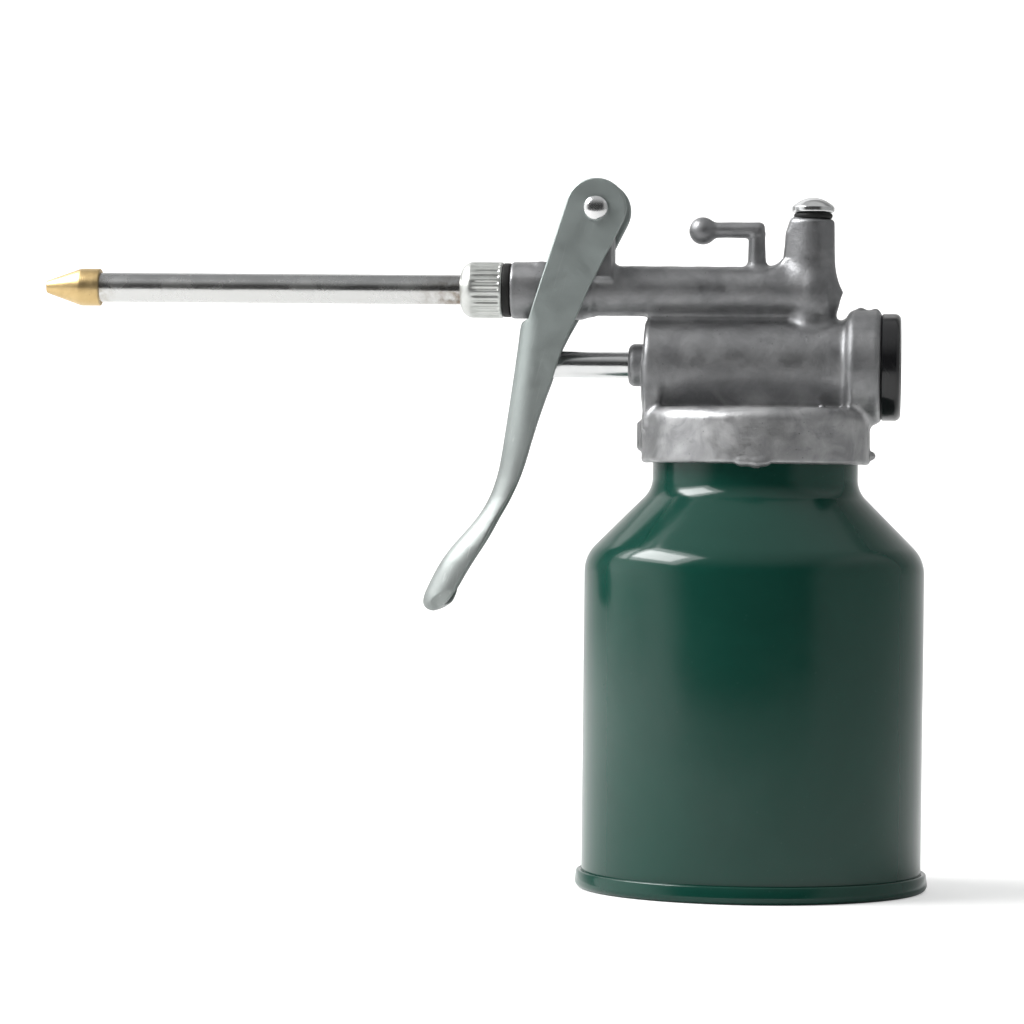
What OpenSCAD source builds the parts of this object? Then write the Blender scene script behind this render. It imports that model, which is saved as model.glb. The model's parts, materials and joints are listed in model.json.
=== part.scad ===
// Handy oiler can: a pressed can with a screw-on die-cast pump head, a squeeze
// lever, a plunger pump, two ball valves and a long straight spout.
// Frame: origin at the centre of the resting ring, +Z up, +X towards the rear
// plug of the pump, -X towards the spout tip. All lengths in millimetres.

/* [Can] */
// outside radius of the can wall
can_r = 36.6; // [25:0.1:60]
// thickness of the pressed can sheet
sheet_t = 0.6; // [0.3:0.05:1.2]
// height where the straight wall meets the 45 degree shoulder
shoulder_z = 71.5; // [40:0.1:140]
// outside bend radius between wall and shoulder
shoulder_bend_r = 8; // [2:0.5:14]
// outside radius of the can neck
neck_r = 22.1; // [15:0.1:35]
// outside bend radius between shoulder and neck
neck_bend_r = 6; // [2:0.5:10]
// height of the rolled rim of the neck
rim_z = 99.7; // [80:0.1:180]
// smallest radius of the turned-in rim
rim_inner_r = 19.5; // [12:0.1:30]
// outside radius of the bottom seam
seam_r = 38.0; // [26:0.1:62]
// height of the bottom seam
seam_h = 3.9; // [2:0.1:8]
// height of the recessed bottom plate above the rest plane
bottom_rise = 3.0; // [1:0.1:6]
// thickness of the bottom plate
bottom_t = 0.5; // [0.3:0.05:1.5]

/* [Screw joint of head and can] */
// rise of the screw thread in one turn
thread_pitch = 3.0; // [1.5:0.25:5]
// number of turns of thread
thread_turns = 2; // [1:0.25:4]
// height of the thread ridge
thread_h = 0.6; // [0.3:0.05:1.2]
// height where the can thread starts
can_thread_z = 91.9; // [80:0.1:160]
// inside radius of the skirt of the head
skirt_bore_r = 22.95; // [16:0.05:36]
// outside radius of the skirt of the head
skirt_r = 24.7; // [17:0.1:38]
// height of the lower edge of the skirt
skirt_bottom_z = 91.7; // [75:0.1:160]
// height of the top of the skirt
skirt_top_z = 103.7; // [85:0.1:180]
// height of the ceiling inside the skirt
ceiling_z = 101.2; // [84:0.1:178]
// inside radius of the gasket
gasket_inner_r = 18.2; // [10:0.1:30]
// outside radius of the gasket
gasket_outer_r = 22.5; // [15:0.1:35]

/* [Pump cylinder] */
// height of the pump axis
pump_z = 112.7; // [100:0.1:200]
// outside radius of the pump cylinder
pump_r = 9.95; // [6:0.05:20]
// radius of the pump bore
pump_bore_r = 8.0; // [4:0.05:16]
// front face of the pump cylinder
pump_front_x = -24.0; // [-60:0.1:-10]
// front wall of the pump bore
bore_front_x = -20.3; // [-55:0.1:-8]
// radius of the rear collar
collar_r = 12.2; // [8:0.1:24]
// start of the rounded flank of the rear collar
collar_start_x = 17.8; // [8:0.1:40]
// rear face of the rear collar
collar_rear_x = 26.9; // [12:0.1:50]
// step in the bore behind which the plug sits
plug_step_x = 20.0; // [10:0.1:40]
// radius of the counterbore for the plug
plug_bore_r = 9.5; // [6:0.1:20]
// front end of the rod gland
gland_front_x = -27.6; // [-70:0.1:-12]
// outside radius of the rod gland
gland_r = 4.5; // [3.5:0.1:9]

/* [Delivery barrel] */
// height of the spout axis
barrel_z = 128.7; // [110:0.1:220]
// outside radius of the barrel
barrel_r = 5.35; // [3.5:0.05:10]
// radius of the oil passage in the barrel
barrel_bore_r = 2.0; // [1:0.1:4]
// front face of the thicker block at the spout end
block_front_x = -53.3; // [-100:0.1:-30]
// rear end of the thicker block
block_rear_x = -35; // [-80:0.1:-20]
// radius of the thicker block
block_r = 6.1; // [4:0.1:12]
// half width across the flats of the block and of the pivot lug
lug_half = 6.0; // [3:0.1:12]
// radius of the spigot under the union nut
spigot_r = 4.65; // [3:0.05:8]
// front end of the spigot
spigot_front_x = -61.0; // [-110:0.1:-40]

/* [Valve tower] */
// distance of the tower axis behind the can axis
tower_x = 11.85; // [0:0.05:30]
// outside radius of the tower at the top
tower_r = 4.55; // [3:0.05:9]
// outside radius of the tower at its foot
tower_foot_r = 4.95; // [3:0.05:10]
// height of the top of the tower
tower_top_z = 144.4; // [125:0.1:240]
// radius of the bore of the tower
tower_bore_r = 3.1; // [2:0.05:7]
// height of the seat of the outlet ball
outlet_seat_z = 125.0; // [112:0.1:200]
// radius of the hole in the outlet seat
outlet_hole_r = 1.6; // [0.8:0.05:4]

/* [Thumb hook] */
// distance of the hook post from the can axis
hook_x = -0.2; // [-20:0.1:20]
// radius of the post and the arm
hook_r = 1.7; // [1:0.05:4]
// height of the arm
hook_z = 142.0; // [130:0.1:240]
// centre of the ball at the end of the arm
hook_ball_x = -11.9; // [-40:0.1:-4]
// radius of the ball
hook_ball_r = 2.9; // [1.5:0.05:6]

/* [Pivot] */
// distance of the lever pivot from the can axis
pivot_x = -34.5; // [-80:0.1:-10]
// height of the lever pivot
pivot_z = 146.2; // [130:0.1:240]
// radius of the rivet shank
rivet_r = 2.0; // [1:0.05:4]
// radius of the rivet head
rivet_head_r = 2.75; // [1.5:0.05:6]
// height of the rivet head
rivet_head_h = 1.6; // [0.5:0.05:4]
// running clearance of the pivot, on the radius
pivot_gap = 0.08; // [0.02:0.01:0.1]
// front face of the lug that carries the rivet
lug_front_x = -38.5; // [-90:0.1:-12]
// rear face of the lug
lug_rear_x = -31.2; // [-70:0.1:-5]
// radius of the top of the lug
lug_top_r = 4.3; // [3:0.1:10]

/* [Lever] */
// thickness of the lever sheet
lever_t = 1.5; // [0.8:0.1:3]
// half width of the lever outside, at the cheeks
lever_half = 7.8; // [5:0.1:16]
// radius of the lever cheeks around the rivet
lever_head_r = 6.5; // [4:0.1:12]
// radius of the bend between cheek and back, at the top
lever_bend_r = 4.5; // [2:0.1:8]
// stations down the lever: back x, back z, lean in degrees, depth, half width,
// bend depth, bend width, depth of the back wall
lever_stations = [
  [-45.60, 158.0,  7.4, 26.0, 7.8, 1.8, 1.8, 1.5],
  [-50.15, 127.0,  7.4, 14.3, 7.8, 1.8, 1.8, 1.5],
  [-50.85, 122.0,  7.6, 12.6, 7.8, 4.5, 4.5, 1.5],
  [-51.35, 117.5,  7.9, 10.7, 7.8, 4.6, 4.6, 1.5],
  [-51.90, 113.5,  8.0,  9.5, 7.8, 4.8, 4.8, 1.5],
  [-52.50, 109.1,  8.2,  8.6, 7.8, 5.2, 5.2, 1.5],
  [-53.15, 104.8,  8.3,  7.7, 7.8, 5.4, 5.6, 1.5],
  [-53.75, 100.5,  8.4,  6.95, 7.75, 5.3, 5.9, 1.5],
  [-54.42, 96.2,   8.9,  6.3, 7.7, 5.0, 6.1, 1.5],
  [-55.10, 91.8,  11.0,  5.6, 7.6, 4.6, 6.2, 1.5],
  [-56.00, 87.8,  16.5,  4.8, 7.5, 4.0, 6.2, 1.5],
  [-57.40, 83.8,  25.0,  4.1, 7.5, 3.5, 6.2, 1.5],
  [-59.55, 80.0,  34.0,  3.95, 7.8, 3.3, 6.2, 1.5],
  [-62.40, 76.4,  39.0,  4.6, 8.4, 3.7, 6.4, 1.5],
  [-65.20, 73.2,  38.5,  5.5, 8.9, 4.2, 6.8, 1.5],
  [-67.60, 69.9,  32.5,  6.1, 9.1, 4.6, 7.2, 1.5],
  [-69.45, 66.6,  26.5,  6.1, 8.9, 4.7, 7.4, 1.5],
  [-70.85, 63.4,  21.0,  5.7, 8.1, 4.6, 7.0, 1.6],
  [-71.45, 61.4,  17.0,  5.0, 6.9, 4.3, 6.1, 2.0],
  [-71.45, 60.2,  12.0,  4.1, 5.4, 3.8, 5.0, 3.4],
  [-71.00, 59.3,   4.0,  2.9, 3.4, 2.7, 3.2, 2.8]
];
// rear edge of the cheeks below the rivet, from the rivet down
lever_edge = [[-35.75, 129.1], [-38.75, 122.2], [-41.6, 115.4], [-43.1, 110.6]];
// lowest point of the front edge of the cheeks
cheek_front = [-48.9, 122.4];
// height of the upper end of the back of the lever
back_top_z = 121.8; // [100:0.1:220]

/* [Piston] */
// radius of the piston rod
rod_r = 2.85; // [1.5:0.05:6]
// front end of the piston rod
rod_front_x = -50.3; // [-100:0.1:-30]
// radius of the rounded end of the rod
rod_dome_r = 4.5; // [3:0.1:10]
// front face of the piston disc
piston_front_x = -20.0; // [-50:0.1:-5]
// thickness of the piston disc
piston_t = 2.8; // [1:0.1:8]
// radius of the piston disc
piston_r = 7.8; // [4:0.05:15]
// outside radius of the cup seal
cup_r = 7.95; // [4:0.05:15.9]
// inside radius of the lip of the cup seal
cup_lip_r = 6.6; // [3:0.1:14]
// length of the cup seal
cup_l = 4.4; // [2:0.1:10]
// radius of the threaded end of the rod
rod_spigot_r = 2.0; // [1:0.1:4]
// distance across the flats of the piston nut
nut_flats = 7.0; // [4:0.5:14]
// thickness of the piston nut
nut_t = 2.8; // [1.5:0.1:6]
// mean radius of the return spring
spring_r = 5.3; // [3:0.1:12]
// wire radius of the return spring
spring_wire_r = 0.5; // [0.2:0.05:1.2]
// turns of the return spring
spring_turns = 11; // [5:1:20]

/* [Rear plug] */
// radius of the plug head
plug_r = 11.5; // [7:0.1:24]
// rear face of the plug
plug_rear_x = 31.0; // [15:0.1:60]
// bottom of the spring pocket in the plug
pocket_x = 23.6; // [12:0.1:45]
// width of the coin slot in the plug
coin_slot_w = 2.0; // [1:0.1:4]

/* [Valves] */
// radius of the outlet ball
outlet_ball_r = 2.38; // [1.2:0.01:5]
// lower end of the shank of the valve plug
valve_shank_z = 137.0; // [128:0.1:230]
// height of the valve plug head
valve_head_h = 3.2; // [1.5:0.1:6]
// thickness of the valve plug seal
valve_seal_t = 1.5; // [0.5:0.1:3]
// radius of the inlet ball
inlet_ball_r = 2.0; // [1:0.01:4]
// lift of the inlet ball
inlet_lift = 1.4; // [0.5:0.1:4]
// radius of the ball chamber of the inlet
inlet_chamber_r = 2.6; // [1.5:0.05:5]
// top end of the suction tube, the seat of the inlet ball
suction_top_z = 97.0; // [80:0.1:170]
// lower end of the suction tube
suction_bottom_z = 5.0; // [3.6:0.1:30]
// outside radius of the suction tube
suction_r = 2.6; // [1.5:0.05:5]
// bore radius of the suction tube
suction_bore_r = 1.7; // [0.8:0.05:4]

/* [Spout] */
// outside radius of the spout tube
tube_r = 3.2; // [2:0.05:6]
// wall thickness of the spout tube
tube_t = 0.7; // [0.3:0.05:1.5]
// front end of the spout tip
tip_x = -155.7; // [-400:0.1:-80]
// rear end of the brass tip
tip_rear_x = -143.7; // [-390:0.1:-70]
// outside radius of the brass tip
tip_r = 4.05; // [2.5:0.05:8]
// length of the straight part of the brass tip
tip_straight = 4.3; // [2:0.1:12]
// radius of the tip at its front end
tip_nose_r = 1.3; // [0.6:0.05:3]
// radius of the hole in the tip
tip_hole_r = 0.5; // [0.2:0.05:1.5]
// front end of the union nut
nut_front_x = -64.3; // [-120:0.1:-40]
// rear end of the union nut
nut_rear_x = -55.0; // [-110:0.1:-30]
// outside radius of the union nut
union_r = 6.05; // [4:0.05:12]
// number of flutes of the knurl
flute_count = 26; // [12:1:40]
// outside radius of the union seal
union_seal_r = 5.85; // [4:0.05:12]

/* [Hidden] */
$fn = 96;
eps = 0.05;
shoulder_sum = can_r + shoulder_z;
pump_step_gap = 1.2;
outlet_ball_z = outlet_seat_z + sqrt(outlet_ball_r * outlet_ball_r - outlet_hole_r * outlet_hole_r);
inlet_ball_z = suction_top_z
             + sqrt(inlet_ball_r * inlet_ball_r - suction_bore_r * suction_bore_r);
ferrule_t = 1.2;
tube_depth = 5.0;
nut_shoulder_x = spigot_front_x - ferrule_t;
seat_t = 1.0;
cup_base_t = 1.5;
seat_rear_x = piston_front_x + piston_t + cup_base_t + seat_t;
valve_head_z = tower_top_z + valve_seal_t;

// points on an arc, from angle a0 to angle a1
function arc(cx, cy, r, a0, a1, n = 6) =
    [for (i = [0 : n]) let (a = a0 + (a1 - a0) * i / n) [cx + r * cos(a), cy + r * sin(a)]];

// turned solid about the vertical axis, points are [radius, height]
module lathe(points) rotate_extrude() polygon(points);

// turned solid about an axis along X at height z, points are [radius, x]
module lathe_x(points, z) translate([0, 0, z]) rotate([0, 90, 0]) rotate_extrude() polygon(points);

// round bar along X
module bar_x(r, x0, x1, z, y = 0)
    translate([x0, y, z]) rotate([0, 90, 0]) cylinder(r = r, h = x1 - x0);

// round bar along Y, centred
module bar_y(r, half, x, z)
    translate([x, 0, z]) rotate([90, 0, 0]) cylinder(r = r, h = 2 * half, center = true);

// box between two corners
module span(a, b) translate(a) cube(b - a);

// rolled thread ridge about the vertical axis, rooted in the wall behind it
module helix_ridge(root_r, crest_r, pitch, turns, z0, base_w, crest_w, steps = 40) {
    count = ceil(turns * steps);
    rings = [for (i = [0 : count])
        let (a = 360 * i / steps, z = z0 + pitch * i / steps, f = min(1, 0.25 + 4 * min(i, count - i) / steps),
             c = root_r + (crest_r - root_r) * f)
        for (q = [[root_r, -base_w], [c, -crest_w], [c, crest_w], [root_r, base_w]])
            [q[0] * cos(a), q[0] * sin(a), z + q[1] / 2]];
    flip = crest_r < root_r;
    sides = [for (i = [0 : count - 1]) for (j = [0 : 3])
        let (a = 4 * i + j, b = 4 * i + (j + 1) % 4, c = b + 4, d = a + 4)
        each [[a, b, c], [a, c, d]]];
    n = 4 * count;
    ends = [[0, 2, 1], [0, 3, 2], [n, n + 1, n + 2], [n, n + 2, n + 3]];
    all_faces = concat(sides, ends);
    polyhedron(rings, flip ? [for (t = all_faces) [t[0], t[2], t[1]]] : all_faces, convexity = 8);
}

// coil spring about the vertical axis, closed end turns
module coil(mean_r, wire_r, turns, length, steps = 20, sides = 8) {
    count = turns * steps;
    tight = wire_r * 2.1;
    open_pitch = (length - 2 * wire_r - 2 * tight) / (turns - 2);
    rings = [for (i = [0 : count])
        let (t = i / steps, a = 360 * t,
             z = wire_r + (t < 1 ? tight * t
                 : t > turns - 1 ? tight + open_pitch * (turns - 2) + tight * (t - turns + 1)
                 : tight + open_pitch * (t - 1)))
        for (k = [0 : sides - 1])
            let (b = 360 * k / sides, r = mean_r + wire_r * cos(b))
            [r * cos(a), r * sin(a), z + wire_r * sin(b)]];
    wall = [for (i = [0 : count - 1]) for (k = [0 : sides - 1])
        let (a = sides * i + k, b = sides * i + (k + 1) % sides, c = b + sides, d = a + sides)
        each [[a, c, b], [a, d, c]]];
    last = sides * count;
    first_cap = [for (k = [1 : sides - 2]) [0, k, k + 1]];
    last_cap = [for (k = [1 : sides - 2]) [last, last + k + 1, last + k]];
    polyhedron(rings, concat(wall, first_cap, last_cap), convexity = 20);
}

// ---- can -------------------------------------------------------------------

function can_skin(off) = let (
    a = can_r - shoulder_bend_r, b = neck_r + neck_bend_r,
    za = shoulder_sum - a - shoulder_bend_r * sqrt(2),
    zb = shoulder_sum - b + neck_bend_r * sqrt(2))
    concat(arc(a, za, shoulder_bend_r - off, 0, 45, 7), arc(b, zb, neck_bend_r + off, 225, 180, 6));

// drawn wall, shoulder, neck with its thread and the turned-in rim
module can_body() color("darkgreen") {
    outer = can_skin(0);
    inner = can_skin(sheet_t);
    rim_c = neck_r - 1.0;
    rotate_extrude() polygon(concat(
        [[can_r - sheet_t, 1.05], [can_r, 1.05]],
        outer,
        arc(rim_c, rim_z - 1.0, 1.0, 0, 90, 5),
        arc(rim_inner_r + 0.8, rim_z - 0.8, 0.8, 90, 180, 5),
        [[rim_inner_r, rim_z - 2.0], [rim_inner_r + sheet_t, rim_z - 2.0]],
        arc(rim_inner_r + 0.8, rim_z - 0.8, 0.2, 180, 90, 2),
        arc(rim_c, rim_z - 1.0, 0.4, 90, 0, 3),
        [for (i = [len(inner) - 1 : -1 : 0]) inner[i]]));
    helix_ridge(neck_r - 0.25, neck_r + thread_h, thread_pitch, thread_turns, can_thread_z + 0.9,
                1.8, 0.7);
}

// bottom plate with the folded seam around the lower edge of the wall
module can_bottom() color("darkgreen") {
    gap = 0.03;
    in_r = can_r - sheet_t - gap;
    chuck_r = in_r - 0.65;
    lathe(concat(
        [[0, bottom_rise]],
        arc(chuck_r - 0.6, bottom_rise - 0.6, 0.6, 90, 0, 3),
        arc(chuck_r + 0.7, 0.7, 0.7, 180, 270, 5),
        arc(seam_r - 1.4, 1.4, 1.4, -90, 20, 8),
        arc(can_r + 0.75, seam_h - 0.6, 0.6, 30, 90, 4),
        [[can_r + gap, seam_h], [can_r + gap, 1.0], [in_r, 1.0], [in_r, bottom_rise + bottom_t],
         [0, bottom_rise + bottom_t]]));
}

module neck_gasket() color("dimgray")
    lathe([[gasket_inner_r, rim_z], [gasket_outer_r, rim_z], [gasket_outer_r, ceiling_z],
           [gasket_inner_r, ceiling_z]]);

// ---- pump head casting -----------------------------------------------------

// skirt and roof, solid, to be hollowed
module skirt_solid() lathe(concat(
    [[0, skirt_bottom_z]],
    arc(skirt_r - 1.2, skirt_bottom_z + 1.2, 1.2, -90, 0, 5),
    arc(skirt_r - 3.0, skirt_top_z - 3.0, 3.0, 0, 90, 7),
    [[0, skirt_top_z]]));

// pump cylinder with its rear collar and front gland
module pump_solid() {
    lathe_x(concat([[0, pump_front_x]],
        arc(pump_r - 1.3, pump_front_x + 1.3, 1.3, -90, 0, 5),
        [[pump_r, plug_step_x], [0, plug_step_x]]), pump_z);
    lathe_x(concat([[0, collar_start_x], [pump_r - 0.4, collar_start_x]],
        arc(pump_r - 0.4, collar_start_x + 2.65, 2.65, -90, 0, 7),
        [[collar_r, collar_start_x + 5.2]],
        arc(collar_r - 1.2, collar_rear_x - 1.2, 1.2, 0, 90, 5),
        [[0, collar_rear_x]]), pump_z);
    lathe_x(concat([[0, gland_front_x]],
        arc(gland_r - 1.5, gland_front_x + 1.5, 1.5, -90, 0, 5),
        [[gland_r, pump_front_x + 0.5], [0, pump_front_x + 0.5]]), pump_z);
}

// saddle that joins the pump cylinder to the roof of the skirt
module saddle_solid() {
    span([pump_front_x + 0.6, -6.2, ceiling_z], [collar_start_x + 2, 6.2, pump_z - 4]);
    intersection() {
        span([pump_front_x, -9.0, ceiling_z], [bore_front_x - 0.1, 9.0, pump_z]);
        translate([0, 0, ceiling_z]) cylinder(r = skirt_r - 0.2, h = 20);
    }
}

// delivery barrel, thicker block, rear boss and web
module barrel_solid() {
    bar_x(barrel_r, block_rear_x - 1, tower_x, barrel_z);
    lathe_x(concat([[0, tower_x]],
        [[barrel_r, tower_x]], arc(barrel_r - 3.2, 14.9, 3.2, 0, 60, 5),
        [[0.9, 18.25], [0, 18.35]]), barrel_z);
    intersection() {
        lathe_x(concat([[0, block_front_x]],
            arc(block_r - 0.9, block_front_x + 0.6, 0.6, -90, 0, 3),
            [[block_r, block_rear_x - 1.2], [barrel_r - 0.1, block_rear_x + 0.6],
             [0, block_rear_x + 0.6]]), barrel_z);
        span([block_front_x - 1, -lug_half, barrel_z - 8], [block_rear_x + 2, lug_half, barrel_z + 8]);
    }
    span([pump_front_x + 0.6, -3.0, pump_z + 7], [tower_x, 3.0, barrel_z - 2]);
    bar_x(spigot_r, spigot_front_x, block_front_x + 1, barrel_z);
}

// lug between the lever cheeks
module lug_solid() {
    intersection() {
        union() {
            span([lug_front_x, -lug_half, barrel_z], [lug_rear_x, lug_half, pivot_z - 1]);
            bar_y(lug_top_r, lug_half, pivot_x, pivot_z);
        }
        span([lug_front_x - 1, -lug_half, barrel_z], [lug_rear_x + 2, lug_half, pivot_z + 9]);
    }
}

// valve tower, its gusset and the lower boss down to the pump cylinder
module tower_solid() {
    top_edge = 0.7;
    translate([tower_x, 0, 0]) {
        lathe(concat([[0, barrel_z - 3], [tower_foot_r, barrel_z - 3]],
            arc(tower_r - top_edge, tower_top_z - top_edge, top_edge, 0, 90, 4),
            [[0, tower_top_z]]));
        translate([0, 0, pump_z + 7]) cylinder(r1 = 6.0, r2 = tower_foot_r, h = barrel_z - pump_z - 9);
        translate([0, 0, barrel_z + 3.5]) cylinder(r1 = 6.6, r2 = tower_r, h = 3.2);
    }
    translate([0, 1.8, 0]) rotate([90, 0, 0]) linear_extrude(3.6)
        polygon([[4.0, 133.0], [5.7, 135.4], [6.2, 138.2], [6.4, 141.5], [7.6, 143.6],
                 [tower_x, 143.6], [tower_x, 131.5]]);
}

// thumb hook, cast in one with the barrel
module hook_solid() {
    translate([hook_x, 0, barrel_z + 3]) cylinder(r1 = hook_r + 0.35, r2 = hook_r, h = hook_z - barrel_z - 3);
    translate([hook_x, 0, hook_z]) sphere(r = hook_r);
    bar_x(hook_r, hook_ball_x, hook_x, hook_z);
    translate([hook_ball_x, 0, hook_z - 0.2]) sphere(r = hook_ball_r);
}

// small marks that the casting die leaves
module die_marks() {
    translate([-skirt_r - 0.1, 0, 94.4]) cylinder(r = 0.9, h = 6.0);
    translate([skirt_r + 0.1, 0, 93.7]) sphere(r = 0.9);
    translate([14.4, -8.2, skirt_top_z]) sphere(r = 0.8);
}

// oil and air passages
module passages() {
    bar_x(pump_bore_r, bore_front_x, collar_rear_x + 1, pump_z);
    bar_x(plug_bore_r, plug_step_x, collar_rear_x + 1, pump_z);
    bar_x(rod_r + 0.07, gland_front_x - 1, bore_front_x + 1, pump_z);
    bar_x(barrel_bore_r, spigot_front_x - 1, tower_x, barrel_z);
    translate([tower_x, 0, pump_z + 6]) cylinder(r = outlet_hole_r, h = outlet_seat_z - pump_z - 4);
    translate([tower_x, 0, outlet_seat_z]) cylinder(r = tower_bore_r, h = 30);
    translate([tower_x + 1.0, 0, ceiling_z]) cylinder(r = 1.2, h = pump_z - pump_bore_r - ceiling_z + 1);
    translate([tower_x, 0, suction_top_z]) cylinder(r = inlet_chamber_r, h = 101.7 - suction_top_z);
    translate([tower_x, 0, 80]) cylinder(r = suction_r, h = suction_top_z - 80);
    translate([-14.5, 0, ceiling_z - 1]) cylinder(r = 0.6, h = pump_z - pump_bore_r - ceiling_z + 2);
    bar_y(rivet_r + 0.03, lug_half + 1, pivot_x, pivot_z);
}

module head_casting() color("silver") difference() {
    union() {
        difference() {
            union() {
                skirt_solid();
                pump_solid();
                saddle_solid();
                barrel_solid();
                lug_solid();
                tower_solid();
                hook_solid();
                die_marks();
            }
            translate([0, 0, skirt_bottom_z - 1])
                cylinder(r = skirt_bore_r, h = ceiling_z - skirt_bottom_z + 1);
        }
        translate([tower_x, 0, 92]) cylinder(r = 4.8, h = ceiling_z - 92 + eps);
        helix_ridge(skirt_bore_r + 0.25, skirt_bore_r - thread_h, thread_pitch, thread_turns - 0.7,
                    can_thread_z + 1.0 + thread_pitch / 2, 1.8, 0.7);
    }
    passages();
}

// suction tube with a slanted lower end
module suction_tube() color("lightgray") difference() {
    translate([tower_x, 0, suction_bottom_z])
        cylinder(r = suction_r, h = suction_top_z - suction_bottom_z);
    translate([tower_x, 0, 0]) cylinder(r = suction_bore_r, h = suction_top_z + 1);
    translate([tower_x, 0, suction_bottom_z]) rotate([0, 30, 0])
        translate([-10, -5, -10]) cube([20, 10, 10]);
}

// ---- valves ----------------------------------------------------------------

module inlet_ball() color("gainsboro")
    translate([tower_x, 0, inlet_ball_z]) sphere(r = inlet_ball_r);

module outlet_ball() color("gainsboro")
    translate([tower_x, 0, outlet_ball_z]) sphere(r = outlet_ball_r);

module outlet_spring() color("gainsboro")
    translate([tower_x, 0, outlet_ball_z + 1.55])
        coil(1.9, 0.25, 6, valve_shank_z - outlet_ball_z - 1.6, 16, 6);

// slotted domed plug that closes the valve tower
module valve_plug() color("silver") difference() {
    dome_r = (tower_r * tower_r + (valve_head_h - 1.2) * (valve_head_h - 1.2))
           / (2 * (valve_head_h - 1.2));
    half = asin(tower_r / dome_r);
    translate([tower_x, 0, 0]) lathe(concat(
        [[0, valve_shank_z], [tower_bore_r - 0.45, valve_shank_z],
         [tower_bore_r - 0.05, valve_shank_z + 0.4], [tower_bore_r - 0.05, valve_head_z],
         [tower_r - 0.25, valve_head_z], [tower_r, valve_head_z + 0.3]],
        arc(0, valve_head_z + valve_head_h - dome_r, dome_r, 90 - half, 90, 8)));
    translate([tower_x - 6, -0.5, valve_head_z + valve_head_h - 1.1]) cube([12, 1.0, 3]);
}

module valve_plug_seal() color("black")
    translate([tower_x, 0, 0]) lathe(concat(
        [[tower_bore_r, tower_top_z]],
        arc(4.1 - 0.5, tower_top_z + valve_seal_t / 2, valve_seal_t / 2, -90, 90, 6),
        [[tower_bore_r, valve_head_z]]));

// ---- rear plug -------------------------------------------------------------

module rear_plug() color("black") difference() {
    edge = 1.4;
    front = plug_step_x + pump_step_gap;
    lathe_x(concat([[0, front], [plug_bore_r - 0.5, front], [plug_bore_r - 0.1, front + 0.4],
        [plug_bore_r - 0.1, collar_rear_x], [plug_r - 0.3, collar_rear_x],
        [plug_r, collar_rear_x + 0.3]],
        arc(plug_r - edge, plug_rear_x - edge, edge, 0, 90, 6),
        [[0, plug_rear_x]]), pump_z);
    bar_x(spring_r + spring_wire_r + 0.5, front - 1, pocket_x, pump_z);
    span([plug_rear_x - 1.3, -8, pump_z - coin_slot_w / 2],
         [plug_rear_x + 1, 8, pump_z + coin_slot_w / 2]);
}

module rear_plug_seal() color("black")
    lathe_x([[pump_bore_r + 0.2, plug_step_x], [plug_bore_r - 0.05, plug_step_x],
             [plug_bore_r - 0.05, plug_step_x + pump_step_gap],
             [pump_bore_r + 0.2, plug_step_x + pump_step_gap]], pump_z);

module return_spring() color("gainsboro")
    translate([seat_rear_x, 0, pump_z]) rotate([0, 90, 0])
        coil(spring_r, spring_wire_r, spring_turns, pocket_x - seat_rear_x, 20, 8);

// ---- piston ----------------------------------------------------------------

module piston_rod() color("silver") {
    half = asin(rod_r / rod_dome_r);
    lathe_x(concat(
        [for (i = [0 : 6]) let (a = half * i / 6)
            [rod_dome_r * sin(a), rod_front_x + rod_dome_r * (1 - cos(a))]],
        [[rod_r, piston_front_x], [rod_spigot_r, piston_front_x],
         [rod_spigot_r, seat_rear_x + nut_t + 0.4], [rod_spigot_r - 0.3, seat_rear_x + nut_t + 0.7],
         [0, seat_rear_x + nut_t + 0.7]]), pump_z);
}

module piston_disc() color("silver")
    lathe_x([[rod_spigot_r + 0.03, piston_front_x], [piston_r - 0.3, piston_front_x],
             [piston_r, piston_front_x + 0.3], [piston_r, piston_front_x + piston_t],
             [rod_spigot_r + 0.03, piston_front_x + piston_t]], pump_z);

module piston_cup() color("saddlebrown") {
    x0 = piston_front_x + piston_t;
    lathe_x([[rod_spigot_r + 0.03, x0], [cup_r - 0.4, x0], [cup_r, x0 + 0.4],
             [cup_r, x0 + cup_l], [cup_r - 0.5, x0 + cup_l], [cup_lip_r, x0 + cup_l - 0.9],
             [cup_lip_r, x0 + cup_base_t], [rod_spigot_r + 0.03, x0 + cup_base_t]], pump_z);
}

module spring_seat() color("silver")
    lathe_x([[rod_spigot_r + 0.03, seat_rear_x - seat_t], [6.3, seat_rear_x - seat_t],
             [6.3, seat_rear_x], [rod_spigot_r + 0.03, seat_rear_x]], pump_z);

module rod_nut() color("silver") difference() {
    corner_r = nut_flats / 2 / cos(30);
    intersection() {
        translate([seat_rear_x, 0, pump_z]) rotate([0, 90, 0]) cylinder(r = corner_r, h = nut_t, $fn = 6);
        lathe_x([[0, seat_rear_x], [nut_flats / 2 + 0.1, seat_rear_x], [corner_r + 0.1, seat_rear_x + 0.4],
                 [corner_r + 0.1, seat_rear_x + nut_t - 0.4], [nut_flats / 2 + 0.1, seat_rear_x + nut_t],
                 [0, seat_rear_x + nut_t]], pump_z);
    }
    bar_x(rod_spigot_r + 0.03, seat_rear_x - 1, seat_rear_x + nut_t + 1, pump_z);
}

// ---- lever -----------------------------------------------------------------

// channel section: distance into the depth and half width, from one edge to the other
function channel(d, w, a, b, s) = let (n = 5) concat(
    [[d, w]],
    [for (i = [0 : n]) let (q = 90 * i / n) [s + a - a * sin(q), w - b + b * cos(q)]],
    [for (i = [n : -1 : 0]) let (q = 90 * i / n) [s + a - a * sin(q), -(w - b + b * cos(q))]],
    [[d, -w]]);

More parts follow.
